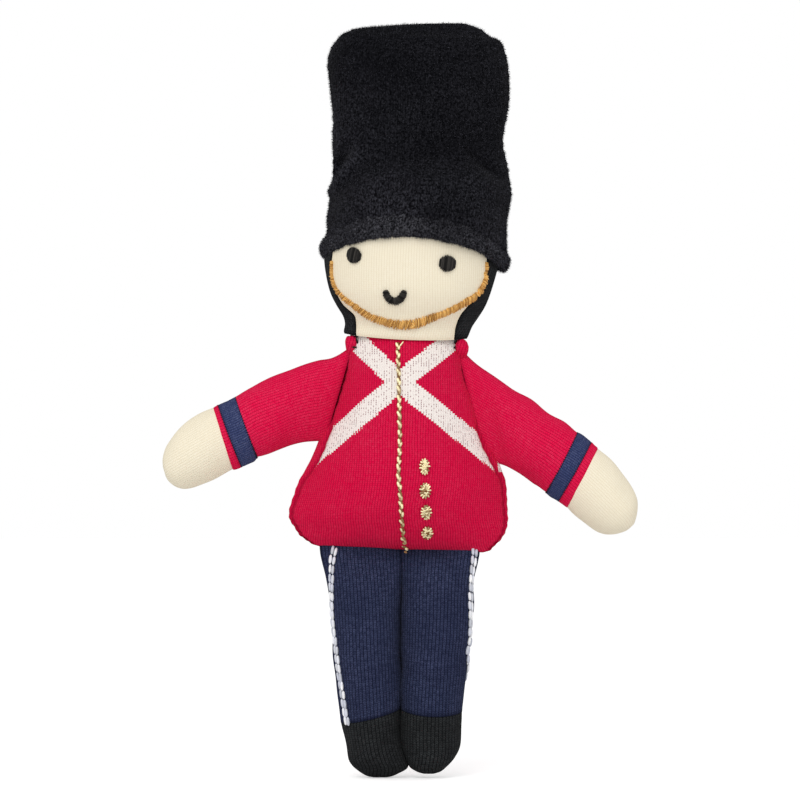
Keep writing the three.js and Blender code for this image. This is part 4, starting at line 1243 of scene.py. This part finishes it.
# %% Gold buttons
# the middle of each button in X and Z, its width and its height
button_places = {
    1: (7.5, 97.3, 3.3, 5.7), 2: (7.7, 90, 3.7, 5.5), 3: (8, 83.4, 3.5, 5.1), 4: (8.4, 77.1, 3.6, 4.4),
}
edge_stitches = 13
inner_stitches = 20
seed_turn = 2.4   # radians from one seed of a sunflower to the next
buttons = {}
for number, (x, z, width, height) in button_places.items():
    middle, facing = on_cloth([tunic], x, z)
    half = np.array([width, 0, height]) / 2
    matrices = [laid(middle, facing, np.array([0, 0, 1]), (height * 0.82, width * 0.78, 1.6), 0.2)]
    # the flat stitch under the knot is painted dark: the shade between its stitches
    tones = [0.05]
    for index in range(edge_stitches + inner_stitches):
        at_edge = index < edge_stitches
        if at_edge:
            angle = (index + chance.uniform(-0.2, 0.2)) * 2 * math.pi / edge_stitches
            reach = 0.72
            size = (chance.uniform(1.0, 1.3), 0.6, 0.8)
        else:
            angle = index * seed_turn
            reach = 0.62 * math.sqrt((index - edge_stitches + 0.5) / inner_stitches)
            size = (chance.uniform(0.9, 1.3), 0.55, 0.8)
        out = np.array([math.cos(angle), 0, math.sin(angle)])
        off = out * half * reach
        spot, skin_facing = on_cloth([tunic], x + off[0], z + off[2])
        way = out if at_edge else np.array([chance.uniform(-1, 1), 0, chance.uniform(-1, 1)])
        matrices.append(laid(spot, skin_facing, way, size, 0.35 + 0.7 * (1 - reach * reach)))
        # two stitches in three are painted lit as highlights, the rest painted shaded
        tones.append(chance.uniform(0.7, 1) if chance.random() < 0.66 else chance.uniform(0, 0.4))
    buttons[number] = embroider(f"gold_button_{number}", matrices, tones, gold_thread)
print(len(buttons), "buttons")

# %% [markdown]
# The chin strap, the mouth and the eyes are satin stitch: short threads side by side. For the strap
# they lie across a curved line, fray a little and are longest under the mouth. A smooth raised band
# would be less work, but its edge would look cut, so every thread is laid on its own.

# %% Chin strap
thread_height = 1.7
thread_lift = 0.25


def satin_band(skins, line, width, pitch, slant=0.0, fray=0.0):
    """Threads across a line of X and Z, as wide as a function of the share of the line says."""
    matrices = []
    places = along_line(line, pitch)
    for index, (x, z, on) in enumerate(places):
        place, facing = on_cloth(skins, x, z)
        across = np.array([-on[2], 0, on[0]])
        length = width((index + 0.5) / len(places)) * chance.uniform(0.9 - fray / 2, 1.06 + fray / 2)
        way = across + (slant + chance.uniform(-fray, fray)) * on
        size = (length, pitch * chance.uniform(1.2, 1.7), thread_height)
        matrices.append(laid(place, facing, way, size, thread_lift + chance.uniform(-fray, fray)))
    return matrices


strap_line = smooth([
    (-21, 161.2), (-21.1, 159.2), (-20.9, 156), (-19.6, 152.4), (-17, 149.5), (-13.3, 146.7),
    (-8.9, 143.8), (-3.1, 141.9), (0.3, 141.4), (4.7, 141.7), (10.5, 143.8), (15.5, 145.8),
    (20.6, 148.6), (24, 150.9), (26.2, 154.7), (26.8, 157.7), (26.8, 160.8),
], 500)
strap_shares = (0, 0.1, 0.2, 0.32, 0.45, 0.56, 0.7, 0.82, 0.9, 0.95, 1)
strap_widths = (0.9, 1.2, 2.2, 2.6, 3.3, 3.3, 2.5, 2.7, 2.2, 1.2, 0.9)


def strap_width(share):
    return float(np.interp(share, strap_shares, strap_widths))


matrices = satin_band([face, head_back], strap_line, strap_width, 0.34, slant=0.22, fray=0.2)
tones = [chance.uniform(0.15, 0.85) for _ in matrices]
# the thread ends in a small knot at the chin
place, facing = on_cloth([face], 3.75, 141.2)
for _ in range(7):
    way = np.array([chance.uniform(-1, 1), 0, chance.uniform(-1, 1)])
    matrices.append(laid(place + chance.uniform(-0.5, 0.5, 3), facing, way, (1.5, 0.6, 0.9), 0.6))
    tones.append(chance.uniform(0.3, 1))
strap = embroider("chin_strap_satin", matrices, tones, tan_thread)
print("chin strap of", len(matrices), "threads")

# %% [markdown]
# The mouth is a small hook of the same stitch in black. An eye is a round of it: its threads run
# from top to bottom, and those in the middle are the longest and stand highest.

# %% Mouth and eyes
mouth_line = smooth([
    (-4.4, 152), (-4.2, 150.8), (-3.4, 149.4), (-1.8, 148.6), (-0.2, 149.1), (0.9, 150.5), (1.4, 151.9),
], 100)


def mouth_width(share):
    """It narrows a little from its middle to its ends, which are round."""
    off = abs(2 * share - 1)
    return 2.75 - 0.5 * off - 0.9 * off ** 12


matrices = satin_band([face], mouth_line, mouth_width, 0.36, fray=0.06)
tones = [chance.uniform(0, 1) for _ in matrices]
mouth = embroider("mouth_satin", matrices, tones, black_thread)

# the middle of each eye in X and Z, its width, its height and its tilt in degrees
eyes = {}
eye_threads = 11
eye_places = {"right": (-14.1, 162.9, 4.4, 5.2, 18), "left": (14.6, 160.3, 5.0, 5.4, 6)}
for name, (x, z, width, height, turn) in eye_places.items():
    matrices = []
    tilt = math.radians(turn)
    way = np.array([math.sin(tilt), 0, math.cos(tilt)])
    for index in range(eye_threads):
        aside = (index + 0.5) / eye_threads * 2 - 1
        length = height * (1 - abs(aside) ** 2.6 * 0.62) * chance.uniform(0.95, 1.05)
        offset = aside * width / 2
        place, facing = on_cloth([face], x + offset * math.cos(tilt), z - offset * math.sin(tilt))
        lift = 0.25 + 0.35 * (1 - aside * aside)
        matrices.append(laid(place, facing, way, (length, width / eye_threads * 1.5, 0.9), lift))
    tones = [chance.uniform(0, 1) for _ in matrices]
    eyes[name] = embroider(f"{name}_eye_satin", matrices, tones, black_thread)
print("mouth, and", len(eyes), "eyes of", eye_threads, "threads each")

# %% [markdown]
# A white chain runs down the outside of each trouser leg, two shiny strands side by side in each
# link. Low on the left leg the chain lies on the side, so there it is found by looking from the side.

# %% Leg stripes
stripe_pitch = 2.8
stripe_width = 2.1
stripe_lines = {
    "right": [
        (-20.4, 72.1), (-20.6, 70.5), (-21, 68.8), (-21.2, 62.8), (-21.1, 56.9), (-20.9, 50.9),
        (-20.3, 44.9), (-19.5, 38.9), (-18.8, 33), (-17.8, 27), (-16.9, 21), (-16.2, 17.5),
    ],
    "left": [
        (23.3, 71.9), (23, 68.8), (22.4, 65.4), (22.1, 62.8), (21.8, 56.9), (21.8, 50.9), (21.6, 44.9),
        (21.3, 38.9), (20.8, 32), (19.8, 22.5),
    ],
}
round_the_side = 40   # below this level the left stripe lies on the side of the leg
stripes = {}
for name, line in stripe_lines.items():
    matrices = []
    tones = []
    for index, (x, z, way) in enumerate(along_line(smooth(line, 300), stripe_pitch)):
        beside = (round_the_side - z) * 0.45 - 1.8 if name == "left" and z < round_the_side else None
        place, facing = on_cloth([trousers[name]], x, z, beside)
        across = np.cross(facing, way)
        wide = stripe_width * (1.1 if index < 2 else 1) * chance.uniform(0.92, 1.08)
        for side in (-1, 1):
            size = (stripe_pitch * chance.uniform(0.96, 1.06), wide * 0.46, 1.0)
            spot = place + across * side * wide * 0.25 + way * (chance.uniform(-0.1, 0.1) + side * 0.2)
            matrices.append(laid(spot, facing, way - across * side * 0.03, size, 0.4))
            tones.append(chance.uniform(0, 1))
    stripes[name] = embroider(f"{name}_stripe_chain", matrices, tones, white_thread)
print("stripes of", stripe_pitch, "mm stitches")

# %% [markdown]
# Inside the collar the edges of the cloth gather to a small flat lump at each of its ends. Black
# threads hold the hood of the head to the tunic there, three at one end and two at the other.

# %% Collar tucks and tacks
# the middle and the half sizes of each lump
tuck_places = {
    "right": ((-15.2, -2, 134.3), (1.9, 2.0, 3.8)),
    "left": ((19.3, -2, 133.3), (2.1, 2.0, 3.5)),
}
tucks = {}
for name, (middle, half_sizes) in tuck_places.items():
    bpy.ops.object.select_all(action="DESELECT")
    bpy.ops.mesh.primitive_uv_sphere_add(segments=40, ring_count=24, radius=1)
    tuck = bpy.context.object
    tuck.name = tuck.data.name = f"{name}_collar_tuck"
    points = points_of(tuck)
    places = np.sign(points) * np.abs(points) ** [0.55, 0.8, 0.5] * half_sizes
    # its lower end narrows and sinks into the cloth
    low = np.clip(0.2 - places[:, 2] / half_sizes[2], 0, 1) ** 1.3
    places[:, 0] *= 1 - 0.45 * low
    places[:, 1] += 3.2 * low
    places = places * (1 + 0.07 * waves(places, 3, 71 + len(name)))[:, None]
    tuck.data.vertices.foreach_set("co", ((places + middle) * mm).ravel())
    wale = [places[:, 0] - places[:, 2] * 0.3, places[:, 2], 1.1 + 0 * places[:, 0]]
    note(tuck, "wale", np.stack(wale, axis=1))
    bpy.ops.object.shade_smooth()
    dress(tuck, red_knit)
    tucks[name] = tuck

# the middle of each thread in X and Z, and its slope
tack_places = [
    (-13.4, 138.1, -1.7), (-13.6, 136.2, -1.2), (-14.2, 134.5, -0.2),
    (17.5, 136, 0.3), (17.1, 134.6, 0.7),
]
matrices = []
for x, z, slope in tack_places:
    place, facing = on_cloth([tunic, *tucks.values()], x, z)
    matrices.append(laid(place, facing, np.array([1, 0, slope]), (2.1, 0.5, 0.7), 0.3))
tacks = embroider("collar_tacks", matrices, [0.2] * len(matrices), black_thread)
print(len(tucks), "tucks and", len(matrices), "tacks")

# %% [markdown]
# The welt of each cuff is linked on with dark thread. Its stitches cross both edges of the welt, all
# the way round the arm, a little unevenly, and draw a fine dark line beside the red. The thread is
# nearly black, so the line is partly stitches and partly painted shade along the welt's edges.

# %% Cuff stitches
stitch_spacing = 0.8
edge_ribs = ((4, 5), (-4, -5))   # the ribs of the welt at each of its edges and next to it
cuff_stitches = {}
for name, ribs in arm_ribs.items():
    matrices = []
    for at_edge in edge_ribs:
        turns = np.linspace(0, 360, 241)[None, :]
        ring, beyond = (on_ribs(ribs["welt"][[rib]], turns, limb_puff)[0] for rib in at_edge)
        arc = along_points(ring)
        for travelled in np.arange(0, arc[-1], stitch_spacing):
            near = min(int(np.searchsorted(arc, travelled)), len(ring) - 2)
            along = ring[near + 1] - ring[near]
            along /= np.linalg.norm(along)
            way = (beyond[near] - ring[near]) / np.linalg.norm(beyond[near] - ring[near])
            facing = np.cross(along, way)
            facing *= np.sign(facing @ (ring[near] - ring.mean(axis=0)))
            size = (chance.uniform(0.45, 0.95), 0.34, 0.36)
            way = way + along * chance.uniform(-0.9, 0.9)
            matrices.append(laid(ring[near], facing, way, size, 0.02))
    # nearly black tones: stitches and painted shade at the welt's edges
    tones = [chance.uniform(0, 0.3) for _ in matrices]
    cuff_stitches[name] = embroider(f"{name}_cuff_stitches", matrices, tones, cuff_thread)
print(len(matrices), "stitches on each cuff")

# %% [markdown]
# The pile of the hat is a brush of short fibres. More than a hundred thousand of them stand on the
# skin, each a single thin triangle, packed more densely along the middle of each wale. They break
# up the outline and catch the light at their tips, which no flat surface does.

# %% Hat pile
spread_out = 0.55   # how far the fibres lean any way, as a share of how far they stand
hang_down = 0.35    # and how far they lean down
fibre_half_width = 0.07
root_depth = 0.1


def scatter(skin, per_square_mm, rng):
    """Random points on a skin, which way it faces there, and how far they lie across its wales."""
    mesh = skin.data
    mesh.calc_loop_triangles()
    corners = np.empty(len(mesh.loop_triangles) * 3, dtype=int)
    mesh.loop_triangles.foreach_get("vertices", corners)
    corners = corners.reshape(-1, 3)
    points = points_of(skin) / mm
    wale = np.empty(len(points) * 3)
    mesh.attributes["wale"].data.foreach_get("vector", wale)
    a, b, c = (points[corners[:, i]] for i in range(3))
    square = np.cross(b - a, c - a)
    area = np.linalg.norm(square, axis=1) / 2
    count = int(area.sum() * per_square_mm)
    chosen = rng.choice(len(area), count, p=area / area.sum())
    share = rng.random((count, 2))
    over = share.sum(axis=1) > 1
    share[over] = 1 - share[over]
    s, t = share[:, :1], share[:, 1:]
    shares = (1 - s - t, s, t)
    where, across = (
        sum(values[corners[chosen, i]] * shares[i] for i in range(3))
        for values in (points, wale.reshape(-1, 3))
    )
    return where, square[chosen], across[:, 0]


def unit(ways):
    return ways / np.linalg.norm(ways, axis=1, keepdims=True)


def grow_pile(name, skin, per_square_mm, length, seed, brightest):
    """Thin triangles on a skin, thickest along the wales."""
    rng = np.random.default_rng(seed)
    root, facing, across = scatter(skin, per_square_mm, rng)
    keep = rng.random(len(root)) < 0.3 + 0.7 * np.abs(np.sin(math.pi * across / pile_wale))
    root = root[keep]
    facing = unit(facing[keep])
    way = unit(facing + spread_out * rng.normal(size=root.shape) + [0, 0, -hang_down])
    aside = unit(np.cross(way, rng.normal(size=root.shape))) * fibre_half_width
    tall = length * rng.uniform(0.6, 1.35, (len(root), 1))
    foot = root - facing * root_depth
    blades = np.stack([foot - aside, foot + aside, root + way * tall], axis=1).reshape(-1, 3)
    faces = np.arange(len(blades)).reshape(-1, 3).tolist()
    return new_piece(name, blades, faces, brightest * rng.random(len(faces)) ** 3, pile_fibre)


pile_fibre, tree = new_material("velour_pile")
tone = node(tree, "Attribute", attribute_name="tone", out="Fac")
shown = node(tree, "Mix", **colour_mix, named={0: tone, 6: colour("#0c0c10"), 7: colour("#55555e")})
finish = {"Base Color": shown, "Roughness": 0.8, "Specular IOR Level": 0.1}
node(tree, "OutputMaterial", node(tree, "BsdfPrincipled", named=finish))
hat_pile = grow_pile("hat_pile", hat, per_square_mm=12, length=0.75, seed=61, brightest=0.8)
hem_pile = grow_pile("hem_pile", hem, per_square_mm=20, length=0.8, seed=63, brightest=1.3)
print("pile of", len(hat_pile.data.polygons), "and", len(hem_pile.data.polygons), "fibres")

# %% [markdown]
# Pieces that lie within one body are attached to the body that they move with. Pieces that cross
# a joint, where the real fabric bends, keep their places without one. Every piece also hides the CAD
# solids that it stands for.


def at(x, z):
    return (x * mm, 0, z * mm)


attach(tunic, "torso")
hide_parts("tunic_front", "tunic_back")
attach(chain, "torso")
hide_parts("placket_stitching")
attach(tacks, "torso")
for tuck in tucks.values():
    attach(tuck, "torso")
for number, button in buttons.items():
    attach(button, "torso")
    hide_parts(f"tunic_button_{number}")

for piece, solid in ((face, "face_panel"), (head_back, "head_back"), (strap, "chin_strap"),
                     (head_fibre, "head_stuffing")):
    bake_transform(piece)
    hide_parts(solid)
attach(mouth, "head")
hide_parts("mouth_stitching")
for name, eye in eyes.items():
    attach(eye, "head")
    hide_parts(f"{name}_eye")
for piece in (hem, hem_pile):
    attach(piece, "head")
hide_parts("hat_hem")
for piece in (hat, hat_pile, crown_fibre):
    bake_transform(piece)
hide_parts("hat_base_front", "hat_base_back", "hat_crown_front", "hat_crown_back")
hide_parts("hat_crown_stuffing")

for name, side in sides.items():
    for piece, solid in ((trousers[name], "trouser_leg"), (stripes[name], "leg_stripe"),
                         (leg_fibres[name], "leg_stuffing")):
        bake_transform(piece)
        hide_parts(f"{name}_{solid}")
    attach(boots[name], f"{name}_leg")
    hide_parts(f"{name}_boot")
    # the direction square to the sleeve's seam, pointing away from the body
    pieces = arm_pieces[name]
    top, low = shoulder_seams[name]
    square = np.array([(top - low)[1], -(top - low)[0]]) / np.linalg.norm(top - low)
    square = square * np.sign(square[0]) * side
    for part, solid in (("sleeve", "sleeve"), ("filling", "arm_stuffing")):
        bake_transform(pieces[part])
        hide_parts(f"{name}_{solid}")
    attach(cuff_stitches[name], f"{name}_arm")
    for part, solid in (("welt", "cuff_band"), ("rim", "cuff_edge"), ("hand", "hand")):
        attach(pieces[part], f"{name}_arm")
        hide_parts(f"{name}_{solid}")
